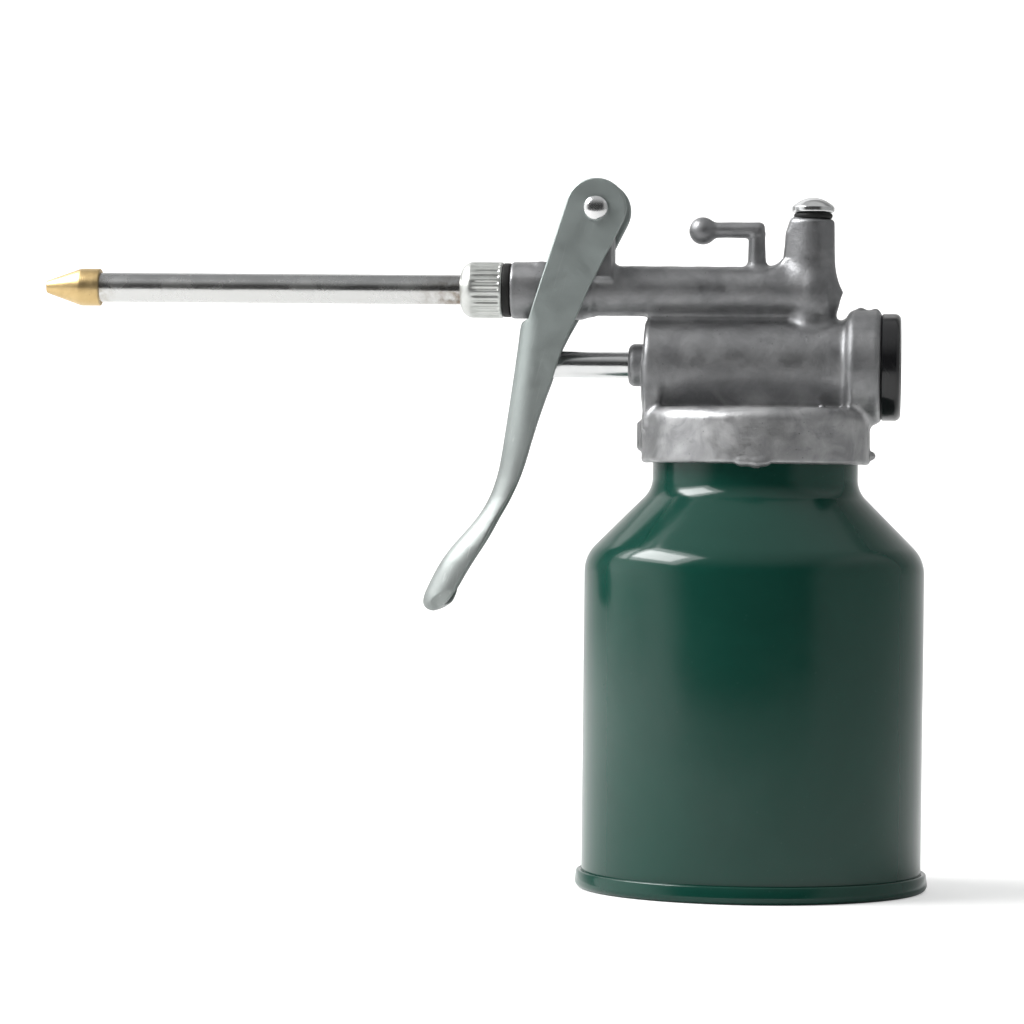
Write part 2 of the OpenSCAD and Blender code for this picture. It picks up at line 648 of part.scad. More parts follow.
module lever_skin() {
    ring = [for (s = lever_stations)
        let (ca = cos(s[2]), sa = sin(s[2]), d = s[3], w = s[4], t = s[7],
             out = channel(d, w, s[5], s[6], 0),
             ia = max(0.3, min(s[5] - lever_t, d - t - 0.1)), ib = max(0.3, s[6] - lever_t),
             in = channel(d, w - lever_t, ia, ib, min(t, d - ia - 0.05)),
             loop = concat(out, [for (k = [len(in) - 1 : -1 : 0]) in[k]]))
        for (p = loop) [s[0] + p[0] * ca, p[1], s[1] - p[0] * sa]];
    m = 28;
    count = len(lever_stations) - 1;
    wall = [for (i = [0 : count - 1]) for (j = [0 : m - 1])
        let (a = m * i + j, b = m * i + (j + 1) % m, c = b + m, d = a + m)
        each [[a, b, c], [a, c, d]]];
    // end faces, outer point k pairs with inner point m - 1 - k
    caps = [for (k = [0 : m / 2 - 2]) let (p = k, q = k + 1, r = m - 2 - k, s = m - 1 - k)
        each [[p, r, q], [p, s, r]]];
    last = m * count;
    polyhedron(ring, concat(wall, caps, [for (t = caps) [t[0] + last, t[2] + last, t[1] + last]]),
               convexity = 10);
}

// side outline that trims the cheeks
module lever_outline() {
    c = [pivot_x, pivot_z];
    pf = cheek_front - c;
    pr = lever_edge[0] - c;
    start = atan2(pf[1], pf[0]) - acos(lever_head_r / norm(pf));
    stop = atan2(pr[1], pr[0]) + acos(lever_head_r / norm(pr));
    polygon(concat(
        [[-95, back_top_z], [cheek_front[0] - 0.5, back_top_z], cheek_front],
        arc(pivot_x, pivot_z, lever_head_r, start + 360, stop, 22),
        lever_edge,
        [[-43.0, 108], [-40, 100], [-40, 50], [-95, 50]]));
}

module lever() color("gray") difference() {
    intersection() {
        lever_skin();
        translate([0, 12, 0]) rotate([90, 0, 0]) linear_extrude(24) lever_outline();
    }
    bar_y(rivet_r + pivot_gap, 12, pivot_x, pivot_z);
}

module lever_rivet() color("silver") {
    dome_r = (rivet_head_r * rivet_head_r + rivet_head_h * rivet_head_h) / (2 * rivet_head_h);
    face = lever_half + 0.1;
    half = asin(rivet_head_r / dome_r);
    translate([pivot_x, 0, pivot_z]) rotate([90, 0, 0]) rotate_extrude() polygon(concat(
        [[0, -face - 1.2], [rivet_r + 0.4, -face - 1.2], [rivet_r + 0.7, -face - 0.8],
         [rivet_r + 0.7, -face], [rivet_r, -face], [rivet_r, face], [rivet_head_r, face]],
        arc(0, face + rivet_head_h - dome_r, dome_r, 90 - half, 90, 8)));
}

// ---- spout -----------------------------------------------------------------

module spout_tube() color("silver")
    lathe_x([[tube_r - tube_t, tip_rear_x - tube_depth], [tube_r - 0.2, tip_rear_x - tube_depth],
             [tube_r, tip_rear_x - tube_depth + 0.2], [tube_r, spigot_front_x],
             [tube_r - tube_t, spigot_front_x]], barrel_z);

module spout_ferrule() color("goldenrod")
    lathe_x([[tube_r + 0.01, nut_shoulder_x], [spigot_r - 0.2, nut_shoulder_x],
             [spigot_r - 0.2, spigot_front_x], [tube_r + 0.01, spigot_front_x]], barrel_z);

// knurled union nut with a rounded front end
module union_nut() color("silver") difference() {
    round_r = 2.6;
    lathe_x(concat([[tube_r + 0.12, nut_front_x]],
        arc(union_r - round_r, nut_front_x + round_r, round_r, -90, 0, 7),
        [[union_r, nut_rear_x - 0.5], [union_r - 0.4, nut_rear_x], [spigot_r + 0.08, nut_rear_x],
         [spigot_r + 0.08, nut_shoulder_x], [tube_r + 0.12, nut_shoulder_x]]), barrel_z);
    for (i = [0 : flute_count - 1])
        translate([nut_front_x + 2.1, 0, barrel_z]) rotate([360 * (i + 0.5) / flute_count, 0, 0])
            translate([0, 0, union_r + 0.22]) rotate([0, 90, 0])
                cylinder(r = 0.52, h = nut_rear_x - nut_front_x - 3.0, $fn = 24);
}

module union_seal() color("black")
    lathe_x([[spigot_r + 0.02, nut_rear_x], [union_seal_r - 0.2, nut_rear_x],
             [union_seal_r, nut_rear_x + 0.2], [union_seal_r, block_front_x - 0.2],
             [union_seal_r - 0.2, block_front_x], [spigot_r + 0.02, block_front_x]], barrel_z);

module nozzle_tip() color("goldenrod")
    lathe_x([[tip_hole_r, tip_x], [tip_nose_r - 0.2, tip_x], [tip_nose_r, tip_x + 0.2],
             [tip_r, tip_rear_x - tip_straight], [tip_r, tip_rear_x - 0.3], [tip_r - 0.3, tip_rear_x],
             [tube_r + 0.01, tip_rear_x], [tube_r + 0.01, tip_rear_x - tube_depth - 0.05],
             [1.0, tip_rear_x - 8.4], [tip_hole_r, tip_rear_x - 9.2]], barrel_z);

can_body();
can_bottom();
neck_gasket();
head_casting();
suction_tube();
inlet_ball();
outlet_ball();
outlet_spring();
valve_plug();
valve_plug_seal();
rear_plug();
rear_plug_seal();
return_spring();
piston_rod();
piston_disc();
piston_cup();
spring_seat();
rod_nut();
lever();
lever_rivet();
spout_tube();
spout_ferrule();
union_nut();
union_seal();
nozzle_tip();
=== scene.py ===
# %% [markdown]
# # A handy oiler can
# A pressed green can, a grey die-cast pump head that screws onto its neck, a squeeze lever on a
# rivet, a plunger pump and a long thin spout with a brass tip. The moving solids come from the CAD
# part, which is the fixed frame. This lesson puts a finer skin on them: turned parts are lathed again
# with more rings, and the casting and the pressed lever are shaped as distance fields, so that they
# get the soft fillets that a die and a press leave. Every skin rides on the CAD body it belongs to.

# %% load the fixed frame
import json
import math
import bpy
import numpy as np
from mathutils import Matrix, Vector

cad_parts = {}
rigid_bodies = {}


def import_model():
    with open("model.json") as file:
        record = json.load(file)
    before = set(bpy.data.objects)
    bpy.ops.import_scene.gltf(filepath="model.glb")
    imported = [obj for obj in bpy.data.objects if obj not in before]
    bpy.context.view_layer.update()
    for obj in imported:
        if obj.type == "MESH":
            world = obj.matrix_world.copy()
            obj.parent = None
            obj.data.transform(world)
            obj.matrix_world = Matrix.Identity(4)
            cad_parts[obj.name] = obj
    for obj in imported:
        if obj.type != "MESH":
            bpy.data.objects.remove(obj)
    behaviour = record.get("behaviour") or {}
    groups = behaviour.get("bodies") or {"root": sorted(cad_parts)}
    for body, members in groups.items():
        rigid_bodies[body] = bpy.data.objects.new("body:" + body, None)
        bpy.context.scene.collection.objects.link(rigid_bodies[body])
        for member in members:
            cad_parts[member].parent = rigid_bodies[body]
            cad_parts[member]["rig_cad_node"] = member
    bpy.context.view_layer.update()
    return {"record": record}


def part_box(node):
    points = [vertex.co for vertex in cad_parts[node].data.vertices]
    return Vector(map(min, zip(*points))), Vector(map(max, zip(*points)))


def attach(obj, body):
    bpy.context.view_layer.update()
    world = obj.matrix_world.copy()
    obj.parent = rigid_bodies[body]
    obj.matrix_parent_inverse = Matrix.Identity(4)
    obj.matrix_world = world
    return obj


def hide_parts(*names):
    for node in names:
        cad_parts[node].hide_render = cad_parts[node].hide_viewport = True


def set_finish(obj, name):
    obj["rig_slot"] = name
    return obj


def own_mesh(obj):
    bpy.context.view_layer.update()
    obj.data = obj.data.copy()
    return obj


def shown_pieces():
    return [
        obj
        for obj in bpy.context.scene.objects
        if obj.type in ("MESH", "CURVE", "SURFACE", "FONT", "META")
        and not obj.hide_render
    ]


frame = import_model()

import openvdb
from mathutils import Matrix, Vector

MM = 0.001
record = frame["record"]
where = {n: b for b, ns in record["behaviour"]["bodies"].items() for n in ns}
slots = {s["node"]: s["material_slot"] for s in record["subparts"]}

# %% [markdown]
# ## Sizes taken from the frame
# All later shapes start from the boxes of the CAD nodes, so a skin always fits the solid under it.
# The helper gives a node's low and high corner in millimetres, and the main axes are read once here:
# the can and the skirt share the vertical axis, the pump and the spout each have their own height.

# %% boxes in millimetres and the three main axes
def box_mm(node):
    lo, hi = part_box(node)
    return np.array(lo) / MM, np.array(hi) / MM


def middle(node):
    lo, hi = box_mm(node)
    return (lo + hi) / 2


can_hi = box_mm("can_body")[1]
can_r = can_hi[1]
rim_z = can_hi[2]
seam_hi = box_mm("can_bottom")[1]
seam_r, seam_h = seam_hi[1], seam_hi[2]
head_lo, head_hi = box_mm("head_casting")
skirt_r = head_hi[1]
pump_z = middle("rear_plug")[2]
spout_z = middle("spout_tube")[2]
tower_x = middle("suction_tube")[0]
pivot = middle("lever_rivet")
print("can radius", round(can_r, 2), "rim", round(rim_z, 2), "pump axis", round(pump_z, 2),
      "spout axis", round(spout_z, 2), "tower", round(tower_x, 2), "pivot", pivot.round(2))

# %% [markdown]
# ## Turning
# A lathe takes a profile of radius and height and spins it. The profile is closed, or starts and ends
# on the axis. `shape` lets a turned part leave the circle, as a thread or a knurl does: it returns the
# radius for a given radius, height and angle. Corners get a small arc, because no real edge is sharp.

# %% make a mesh, spin a profile, round its corners
def new_piece(name, points, faces, node, sharp=35.0):
    mesh = bpy.data.meshes.new(name)
    mesh.from_pydata([tuple(p) for p in points], [], [tuple(f) for f in faces])
    mesh.validate()
    mesh.polygons.foreach_set("use_smooth", [True] * len(mesh.polygons))
    mesh.set_sharp_from_angle(angle=math.radians(sharp))
    piece = bpy.data.objects.new(name, mesh)
    bpy.context.scene.collection.objects.link(piece)
    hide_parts(node)
    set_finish(piece, slots[node])
    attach(piece, where[node])
    return piece


def soften(profile, radius, steps=4):
    """Every corner of a profile with an entry in radius becomes an arc of about that size."""
    out = []
    count = len(profile)
    for i, p in enumerate(profile):
        r = radius[i] if isinstance(radius, (list, tuple)) else radius
        p = np.array(p, float)
        a, b = np.array(profile[i - 1], float), np.array(profile[(i + 1) % count], float)
        if r <= 0 or p[0] < 1e-6:
            out.append(tuple(p))
            continue
        va, vb = a - p, b - p
        la, lb = np.linalg.norm(va), np.linalg.norm(vb)
        reach = min(r, la * 0.48, lb * 0.48)
        if reach < 1e-3:
            out.append(tuple(p))
            continue
        s, e = p + va / la * reach, p + vb / lb * reach
        for k in range(steps + 1):
            t = k / steps
            out.append(tuple((1 - t) ** 2 * s + 2 * t * (1 - t) * p + t * t * e))
    return out


def spin(name, node, profile, along="z", centre=(0, 0, 0), sides=160, shape=None, sharp=35.0):
    """Spins (radius, height) points in mm about an axis through centre. A point at radius 0 is a pole."""
    angle = np.arange(sides) * 2 * math.pi / sides
    rings, points = [], []
    for r, h in profile:
        if r < 1e-6:
            rings.append([len(points)])
            points.append((0.0, 0.0, h))
            continue
        rr = np.full(sides, r) if shape is None else shape(r, h, angle)
        rings.append(list(range(len(points), len(points) + sides)))
        points.extend(zip(rr * np.cos(angle), rr * np.sin(angle), np.full(sides, h)))
    faces = []
    closed = len(rings[0]) > 1 and len(rings[-1]) > 1
    for a, b in zip(rings, rings[1:] + rings[:1] if closed else rings[1:]):
        for k in range(sides):
            m = (k + 1) % sides
            if len(a) == 1 and len(b) > 1:
                faces.append((a[0], b[m], b[k]))
            elif len(b) == 1 and len(a) > 1:
                faces.append((a[k], a[m], b[0]))
            elif len(a) > 1:
                faces.append((a[k], a[m], b[m], b[k]))
    p = np.array(points)
    if along == "x":
        p = np.stack([p[:, 2], p[:, 1], -p[:, 0]], axis=1)
    p = (p + np.array(centre)) * MM
    return new_piece(name, p, faces, node, sharp)


def arc(cx, cy, r, a0, a1, n=10):
    return [(cx + r * math.cos(math.radians(a0 + (a1 - a0) * i / n)),
             cy + r * math.sin(math.radians(a0 + (a1 - a0) * i / n))) for i in range(n + 1)]


def line(a, b, n):
    return [(a[0] + (b[0] - a[0]) * i / n, a[1] + (b[1] - a[1]) * i / n) for i in range(n + 1)]


print("a quarter arc has", len(arc(0, 0, 1, 0, 90)), "points")

# %% [markdown]
# ## The can
# The wall is drawn from thin sheet: straight side, a bend, a 45 degree shoulder, a second bend and the
# neck, whose rim is turned in. The neck's thread is rolled into the sheet, so it shows inside as well;
# here the radius swells along a helix. The wall is one closed profile, outside and inside, so it has
# its real thickness and the rim can be looked into when the head is off.

# %% can wall with its rolled thread
sheet = 0.6
neck_r = 22.1
low_bend, top_bend = 8.0, 6.0
shoulder = can_r + 71.5
pitch, first_turn = 3.0, 92.8


def ridge(h, angle, start, turns):
    """Height of a right-hand screw ridge, 0 to 1, at height h and angle."""
    turn = (h - start) / pitch - angle / (2 * math.pi)
    off = np.abs(turn - np.round(turn))
    run = np.round(turn) + angle / (2 * math.pi)
    ends = np.clip(run * 6, 0, 1) * np.clip((turns - run) * 6, 0, 1)
    return np.clip(1.55 - off * 6.2, 0, 1) * ends


def can_round(r, h, angle):
    out = np.full(angle.shape, float(r))
    if h > first_turn - 1.5 and r > neck_r - 0.9:
        out += 0.58 * ridge(h, angle, first_turn, 2.0)
    return out


def skin(off):
    a, b = can_r - low_bend, neck_r + top_bend
    za = shoulder - a - low_bend * math.sqrt(2)
    zb = shoulder - b + top_bend * math.sqrt(2)
    knee = arc(a, za, low_bend - off, 0, 45, 14)
    throat = arc(b, zb, top_bend + off, 225, 180, 14)
    return knee + line(knee[-1], throat[0], 6)[1:-1] + throat


outer, inner = skin(0), skin(sheet)
lip = arc(neck_r - 1.0, rim_z - 1.0, 1.0, 0, 90, 6) + arc(20.3, rim_z - 0.8, 0.8, 90, 180, 6)
under = arc(20.3, rim_z - 0.8, 0.2, 180, 90, 3) + arc(neck_r - 1.0, rim_z - 1.0, 0.4, 90, 0, 3)
wall = (line((can_r, 1.05), outer[0], 12)[:-1] + outer
        + line(outer[-1], lip[0], 40)[1:-1] + lip + [(19.5, rim_z - 2.0), (20.1, rim_z - 2.0)]
        + under + line(under[-1], inner[-1], 40)[1:-1] + inner[::-1] + [(can_r - sheet, 1.05)])
can = spin("can_wall", "can_body", wall, sides=288, shape=can_round, sharp=50)
print("can wall", len(can.data.polygons), "faces")

# %% [markdown]
# The bottom plate is folded round the lower edge of the wall. The fold makes a rounded ring that the
# can stands on, and the plate itself sits a little higher so that it never touches the bench. Two
# shallow rings are pressed into it to stop it drumming.

# %% bottom plate and folded seam
in_r = can_r - sheet - 0.03
chuck = in_r - 0.65
plate = [(0, 3.0), (14, 3.0), (14.8, 2.75), (16.2, 2.75), (17, 3.0), (26, 3.0), (26.8, 2.75), (28.2, 2.75),
         (29, 3.0)]
plate += arc(chuck - 0.6, 2.4, 0.6, 90, 0, 5) + arc(chuck + 0.7, 0.7, 0.7, 180, 270, 7)
plate += arc(seam_r - 1.45, 1.45, 1.45, -90, 12, 12) + arc(can_r + 0.62, seam_h - 0.62, 0.58, 25, 110, 6)
plate += [(can_r + 0.03, seam_h - 0.25), (can_r + 0.03, 1.0), (in_r, 1.0), (in_r, 3.5), (0, 3.5)]
seam = spin("can_seam", "can_bottom", plate, sides=288, sharp=50)
print("seam radius", round(seam_r, 2), "faces", len(seam.data.polygons))

# %% [markdown]
# ## Shapes from distance fields
# A die casting has no sharp inside corners: where two shapes meet there is a fillet. A distance field
# gives that almost for free. Each simple solid is a function that says how far a point is from its
# surface. Two of them are joined with a smooth minimum, and the width of the smoothing is the fillet.
# The field is kept on a fine grid and only worked out near each solid, then a mesh is drawn on it.

# %% a grid of distances that solids are added to and cut from
class Field:
    def __init__(self, lo, hi, step):
        self.lo, self.step = np.array(lo, float), step
        self.axes = [np.arange(a, b, step, dtype=np.float32) for a, b in zip(lo, hi)]
        self.d = np.full([len(a) for a in self.axes], 4.0, np.float32)

    def part(self, lo, hi, pad):
        cut = []
        for axis, a, b in zip(self.axes, lo, hi):
            i, j = np.searchsorted(axis, [a - pad, b + pad])
            cut.append(slice(i, max(j, i + 1)))
        x, y, z = (axis[c] for axis, c in zip(self.axes, cut))
        return tuple(cut), x[:, None, None], y[None, :, None], z[None, None, :]

    def add(self, solid, k=0.3):
        """Joins a solid with a fillet of about k."""
        dist, lo, hi = solid
        cut, x, y, z = self.part(lo, hi, k + 1.2)
        self.d[cut] = smin(self.d[cut], dist(x, y, z), k)

    def cut(self, solid, k=0.25):
        dist, lo, hi = solid
        part, x, y, z = self.part(lo, hi, k + 1.2)
        self.d[part] = -smin(-self.d[part], dist(x, y, z), k)

    def mesh(self, name, node, sharp=180.0):
        grid = openvdb.FloatGrid(4.0)
        grid.copyFromArray(self.d)
        points, quads = grid.convertToQuads(0.0)
        p = (points * self.step + self.lo) * MM
        return new_piece(name, p, quads[:, ::-1], node, sharp)


def smin(a, b, k):
    """The smaller of two distances, blended where they differ by less than k."""
    h = np.clip(0.5 + 0.5 * (b - a) / k, 0, 1)
    return b + (a - b) * h - k * h * (1 - h)


def inside_box(q):
    """Distance to a corner box from how far a point is beyond each side."""
    out = sum(np.maximum(c, 0) ** 2 for c in q) ** 0.5
    deep = q[0]
    for c in q[1:]:
        deep = np.maximum(deep, c)
    return out + np.minimum(deep, 0)


print("two walls at distance 1, blended over 0.4, meet at", smin(1.0, 1.0, 0.4))

# %% [markdown]
# The simple solids: round bars along X, Y or Z that may taper, boxes and balls. `soft` is the radius
# of their own outer edges. Each returns its distance function together with the box it lives in, and
# a flat outline can be thickened across the part to make a rib.

# %% bars, boxes, balls and ribs
def bar(along, c1, c2, r1, start, stop, r2=None, soft=0.3):
    """Round bar along an axis name; c1 and c2 are the other two coordinates of its axis."""
    r2 = r1 if r2 is None else r2
    mid, half = (start + stop) / 2, (stop - start) / 2
    tilt = 1 / math.hypot(1, (r2 - r1) / max(stop - start, 1e-6))

    def dist(x, y, z):
        run, a, b = {"x": (x, y, z), "y": (y, x, z), "z": (z, x, y)}[along]
        r = np.sqrt((a - c1) ** 2 + (b - c2) ** 2)
        size = r1 + (r2 - r1) * np.clip((run - start) / (stop - start), 0, 1)
        return inside_box([(r - size) * tilt + soft, np.abs(run - mid) - half + soft]) - soft

    big = max(r1, r2)
    span = {"x": ((start, c1 - big, c2 - big), (stop, c1 + big, c2 + big)),
            "y": ((c1 - big, start, c2 - big), (c1 + big, stop, c2 + big)),
            "z": ((c1 - big, c2 - big, start), (c1 + big, c2 + big, stop))}[along]
    return (dist, *span)


def brick(lo, hi, soft=0.3):
    mid, half = (np.array(lo) + hi) / 2, (np.array(hi) - lo) / 2

    def dist(x, y, z):
        q = [np.abs(c - m) - h + soft for c, m, h in zip((x, y, z), mid, half)]
        return inside_box(q) - soft

    return dist, lo, hi


def ball(c, r):
    def dist(x, y, z):
        return np.sqrt((x - c[0]) ** 2 + (y - c[1]) ** 2 + (z - c[2]) ** 2) - r

    return dist, [v - r for v in c], [v + r for v in c]


def outline_distance(x, z, corners):
    """Distance from points of the XZ plane to a closed outline, negative inside."""
    best = np.full(np.broadcast(x, z).shape, 1e9, np.float32)
    inside = np.zeros(best.shape, bool)
    for (ax, az), (bx, bz) in zip(corners, corners[1:] + corners[:1]):
        ex, ez = bx - ax, bz - az
        px, pz = x - ax, z - az
        t = np.clip((px * ex + pz * ez) / (ex * ex + ez * ez), 0, 1)
        best = np.minimum(best, (px - ex * t) ** 2 + (pz - ez * t) ** 2)
        inside ^= ((az > z) != (bz > z)) & (px < ex * pz / (ez if abs(ez) > 1e-9 else 1e-9))
    return np.where(inside, -1, 1) * np.sqrt(best)


def rib(corners, half, soft=0.3):
    """A flat outline in the XZ plane, thickened to half on each side of the middle plane."""
    flat = np.array(corners)

    def dist(x, y, z):
        side = outline_distance(x, z, corners)
        return inside_box([side + soft, np.abs(y) - half + soft]) - soft

    return dist, (flat[:, 0].min(), -half, flat[:, 1].min()), (flat[:, 0].max(), half, flat[:, 1].max())


print("the middle of a 3 mm ball is at distance", ball((0, 0, 0), 3.0)[0](0.0, 0.0, 0.0))

# %% [markdown]
# ## The die-cast pump head
# One casting does nearly everything: it is the lid of the can, the pump cylinder, the delivery barrel,
# the valve tower, the lug for the lever and a small thumb hook. The big solids come first with wide
# fillets, the small ones after them with tighter ones, then the bores are cut. A thin raised line
# along the middle plane is where the two halves of the die met, and a few lumps on the skirt are what
# the trimming left behind.

# %% outside of the casting
front_x = -24.0
back_x = box_mm("rear_plug")[0][0]
collar_end = 26.9
block_x = box_mm("union_seal")[1][0]
spigot_x = head_lo[0]
tower_top = box_mm("valve_plug_seal")[0][2]
hook_x, hook_z, knob_x = -0.2, 142.0, -11.9
cylinder_r, collar_r, gland_r, barrel_r, lug_half = 9.95, 12.2, 4.5, 5.35, 6.0
skirt_top, skirt_low, ceiling = 103.7, 91.7, 101.2
step = 0.27
cast = Field(head_lo - 1.6, head_hi + 1.6, step)
cast.add(bar("z", 0, 0, skirt_r - 0.05, skirt_low - 4, skirt_top, skirt_r - 0.3, soft=3.0))
cast.add(brick((front_x + 0.7, -6.2, 99), (20.5, 6.2, pump_z - 4)), k=1.2)
cast.add(rib([(front_x + 0.1, 99), (front_x + 0.1, pump_z), (-20.2, pump_z), (-20.2, 99)], 8.8, 0.8), k=1.6)
cast.add(bar("x", 0, pump_z, cylinder_r, front_x, 21.5, soft=1.3), k=1.8)
cast.add(bar("x", 0, pump_z, collar_r, 19.6, collar_end, soft=1.5), k=1.9)
cast.add(bar("x", 0, pump_z, gland_r, -27.6, -22, soft=1.4), k=0.5)
cast.add(bar("x", 0, spout_z, barrel_r, -36, 13, soft=0.5), k=0.6)
cast.add(brick((front_x + 1.0, -2.6, pump_z + 7), (tower_x, 2.6, spout_z - 2)), k=1.6)
cast.add(bar("z", tower_x, 0, 6.1, pump_z + 6, spout_z - 1.0, 4.3, soft=0.3), k=1.0)
cast.add(bar("z", tower_x, 0, 5.0, spout_z - 3, tower_top, 4.5, soft=0.8), k=2.6)
cast.add(rib([(4.4, 133.2), (5.8, 135.6), (6.3, 138.6), (6.5, 141.4), (7.9, 143.6), (tower_x, 143.6),
              (tower_x, 131.0)], 1.8, 0.6), k=3.4)
cast.add(rib([(-38.8, 131.2), (-38.4, pivot[2] - 1), (-31.2, pivot[2] - 1), (-31.2, 131.2)],
             lug_half, 0.5), k=2.0)
cast.add(bar("y", pivot[0], pivot[2], 4.3, -lug_half, lug_half, soft=0.5), k=0.4)


def block(x, y, z):
    """The round block behind the union seal, with flat sides, thinning into the barrel."""
    r = np.sqrt(y * y + (z - spout_z) ** 2)
    size = np.minimum(6.05 + 0.012 * (x - block_x), 5.3 + 0.3 * (-34.8 - x))
    return inside_box([r - size + 0.7, np.abs(x - (block_x - 34.8) / 2) - (block_x + 34.8) / -2 + 0.7,
                       np.abs(y) - lug_half + 0.7]) - 0.7


def boss(x, y, z):
    """The barrel's pointed rear end, which shows behind the tower."""
    r = np.sqrt(y * y + (z - spout_z) ** 2)
    cone = (x - 18.4) * 0.86 + r * 0.5
    return inside_box([np.maximum(r - barrel_r, cone) + 0.9, tower_x - x + 0 * r]) - 0.9


cast.add((block, (block_x, -6, spout_z - 6.4), (-34.8, 6, spout_z + 6.4)), k=0.9)
cast.add(bar("x", -2.0, spout_z + 5.1, 0.95, -48.0, -45.4, soft=0.9), k=1.0)
cast.add((boss, (10, -6, spout_z - 6), (18.4, 6, spout_z + 6)), k=1.8)
cast.add(bar("x", 0, spout_z, 4.65, spigot_x, block_x + 1, soft=0.25), k=0.1)
cast.add(bar("z", hook_x, 0, 2.05, spout_z + 2, hook_z - 0.4, 1.65, soft=0.5), k=1.5)
cast.add(bar("x", 0, hook_z, 1.6, knob_x, hook_x + 1.6, 1.68, soft=1.2), k=0.7)
cast.add(ball((knob_x, 0, hook_z - 0.2), 2.9), k=0.7)
print("casting grid", cast.d.shape, round(cast.d.size / 1e6, 1), "million points")

# %% [markdown]
# The trimming leaves small lumps at the skirt, the collar and the corners, and a torn lip under the
# skirt. They could be painted on as bump, but they break the outline, so they are real shape. Then
# the bores are drilled in the order a workshop would drill them: pump, plug, rod, oil ways, rivet.

# %% trimming marks, bores and the thread inside the skirt
skirt_bore, pump_bore, plug_bore, rod_bore, rivet_bore = 22.95, 8.0, 9.5, 2.92, 2.03
cast.add(bar("z", -24.75, 0, 0.85, 94.3, 100.6, soft=0.7), k=0.8)
cast.add(ball((24.9, 0.4, 93.6), 0.9), k=0.7)
cast.add(ball((14.4, -8.4, skirt_top + 0.1), 0.8), k=0.4)
cast.add(ball((22.3, -0.6, pump_z + 11.9), 0.85), k=1.0)
cast.add(ball((25.4, 0.7, pump_z + 11.8), 0.8), k=0.8)
cast.cut(brick((-40, -40, skirt_low - 9), (40, 40, skirt_low)), k=0.9)
cast.add(bar("x", -23.7, skirt_low + 0.35, 0.95, -2.9, 3.9, soft=0.9), k=0.9)
cast.add(ball((1.2, -23.7, skirt_low + 0.05), 1.0), k=0.8)


def seam_line(x, y, z):
    """A low ridge on the middle plane: taken off the distance, it lifts the surface there."""
    return 0.10 * np.exp(-(y / 0.28) ** 2) * (0.75 + 0.25 * np.sin(x * 0.9 + z * 0.7))


cast.d -= seam_line(cast.axes[0][:, None, None], cast.axes[1][None, :, None], cast.axes[2][None, None, :])


def skirt_room(x, y, z):
    """The room inside the skirt, narrowed by its thread."""
    r, angle = np.sqrt(x * x + y * y), np.arctan2(y, x) % (2 * math.pi)
    lead = 0.6 * ridge(z, angle, first_turn + 1.6, 1.3)
    return inside_box([r - skirt_bore + lead, z - ceiling + 0 * r])


cast.cut((skirt_room, (-23, -23, skirt_low - 2), (23, 23, ceiling)), k=0.2)
cast.add(bar("z", tower_x, 0, 4.8, 92, ceiling + 1), k=0.5)
cast.cut(bar("x", 0, pump_z, pump_bore, -20.3, 30, soft=0.1))
cast.cut(bar("x", 0, pump_z, plug_bore, back_x - 1.2, 30, soft=0.1))
cast.cut(bar("x", 0, pump_z, rod_bore, -30, -18, soft=0.1))
cast.cut(bar("x", 0, spout_z, 2.0, spigot_x - 3, tower_x, soft=0.1))
cast.cut(bar("z", tower_x, 0, 1.6, pump_z + 6, 126, soft=0.05))
cast.cut(bar("z", tower_x, 0, 3.1, 125, tower_top + 3, soft=0.1))
cast.cut(bar("z", tower_x, 0, 2.6, 90, 101.7, soft=0.1))
cast.cut(bar("z", tower_x + 1, 0, 1.2, 101, 106, soft=0.05))
cast.cut(bar("y", pivot[0], pivot[2], rivet_bore, -9, 9, soft=0.1))
casting = cast.mesh("pump_head", "head_casting")
print("casting", len(casting.data.polygons), "faces")
del cast

# %% [markdown]
# ## The pressed lever
# The lever starts as flat sheet and is folded into a channel: two flat cheeks, a back that joins them
# below the spout, and a finger end pressed into a long spoon. In the side plane every point gets a
# depth behind the back's outline, a half width and a bend radius. From these the channel is one
# rounded box, made hollow to the sheet's thickness and trimmed to the side outline.

# %% stations down the lever, from the rivet to the finger end
gauge = 1.5
lever_lo, lever_hi = box_mm("lever")
# height, back x, half width, bend radius
stations = np.array([
    (158.0, -45.60, 7.80, 1.8), (127.0, -50.15, 7.80, 1.8), (122.0, -50.85, 7.80, 4.4),
    (117.5, -51.35, 7.80, 4.6), (109.1, -52.50, 7.80, 5.2), (100.5, -53.75, 7.75, 5.6),
    (91.8, -55.10, 7.60, 5.8), (87.8, -56.00, 7.50, 5.6), (83.8, -57.40, 7.50, 5.2),
    (80.0, -59.55, 7.80, 5.0), (76.4, -62.40, 8.40, 5.2), (73.2, -65.20, 8.90, 5.5),
    (69.9, -67.60, 9.10, 5.8), (66.6, -69.45, 9.05, 6.0), (63.4, -70.95, 9.00, 6.0)])
back = [(s[1], s[0]) for s in stations]
tip = [(-71.45, 61.8), (-71.5, 60.7), (-71.1, 59.8), (-70.2, 59.15), (-69.0, 58.95), (-67.8, 59.4)]
edge = [(-66.6, 60.4), (-65.3, 61.7), (-64.0, 63.6), (-62.75, 65.8), (-60.2, 70.2), (-57.75, 74.5),
        (-55.65, 78.7), (-54.3, 81.0), (-53.0, 83.25), (-50.9, 87.5), (-49.2, 91.9), (-47.9, 96.2),
        (-46.6, 100.5), (-45.1, 104.9), (-43.6, 109.1), (-42.3, 113.4), (-40.7, 117.8), (-38.75, 122.2),
        (-35.75, 129.1)]


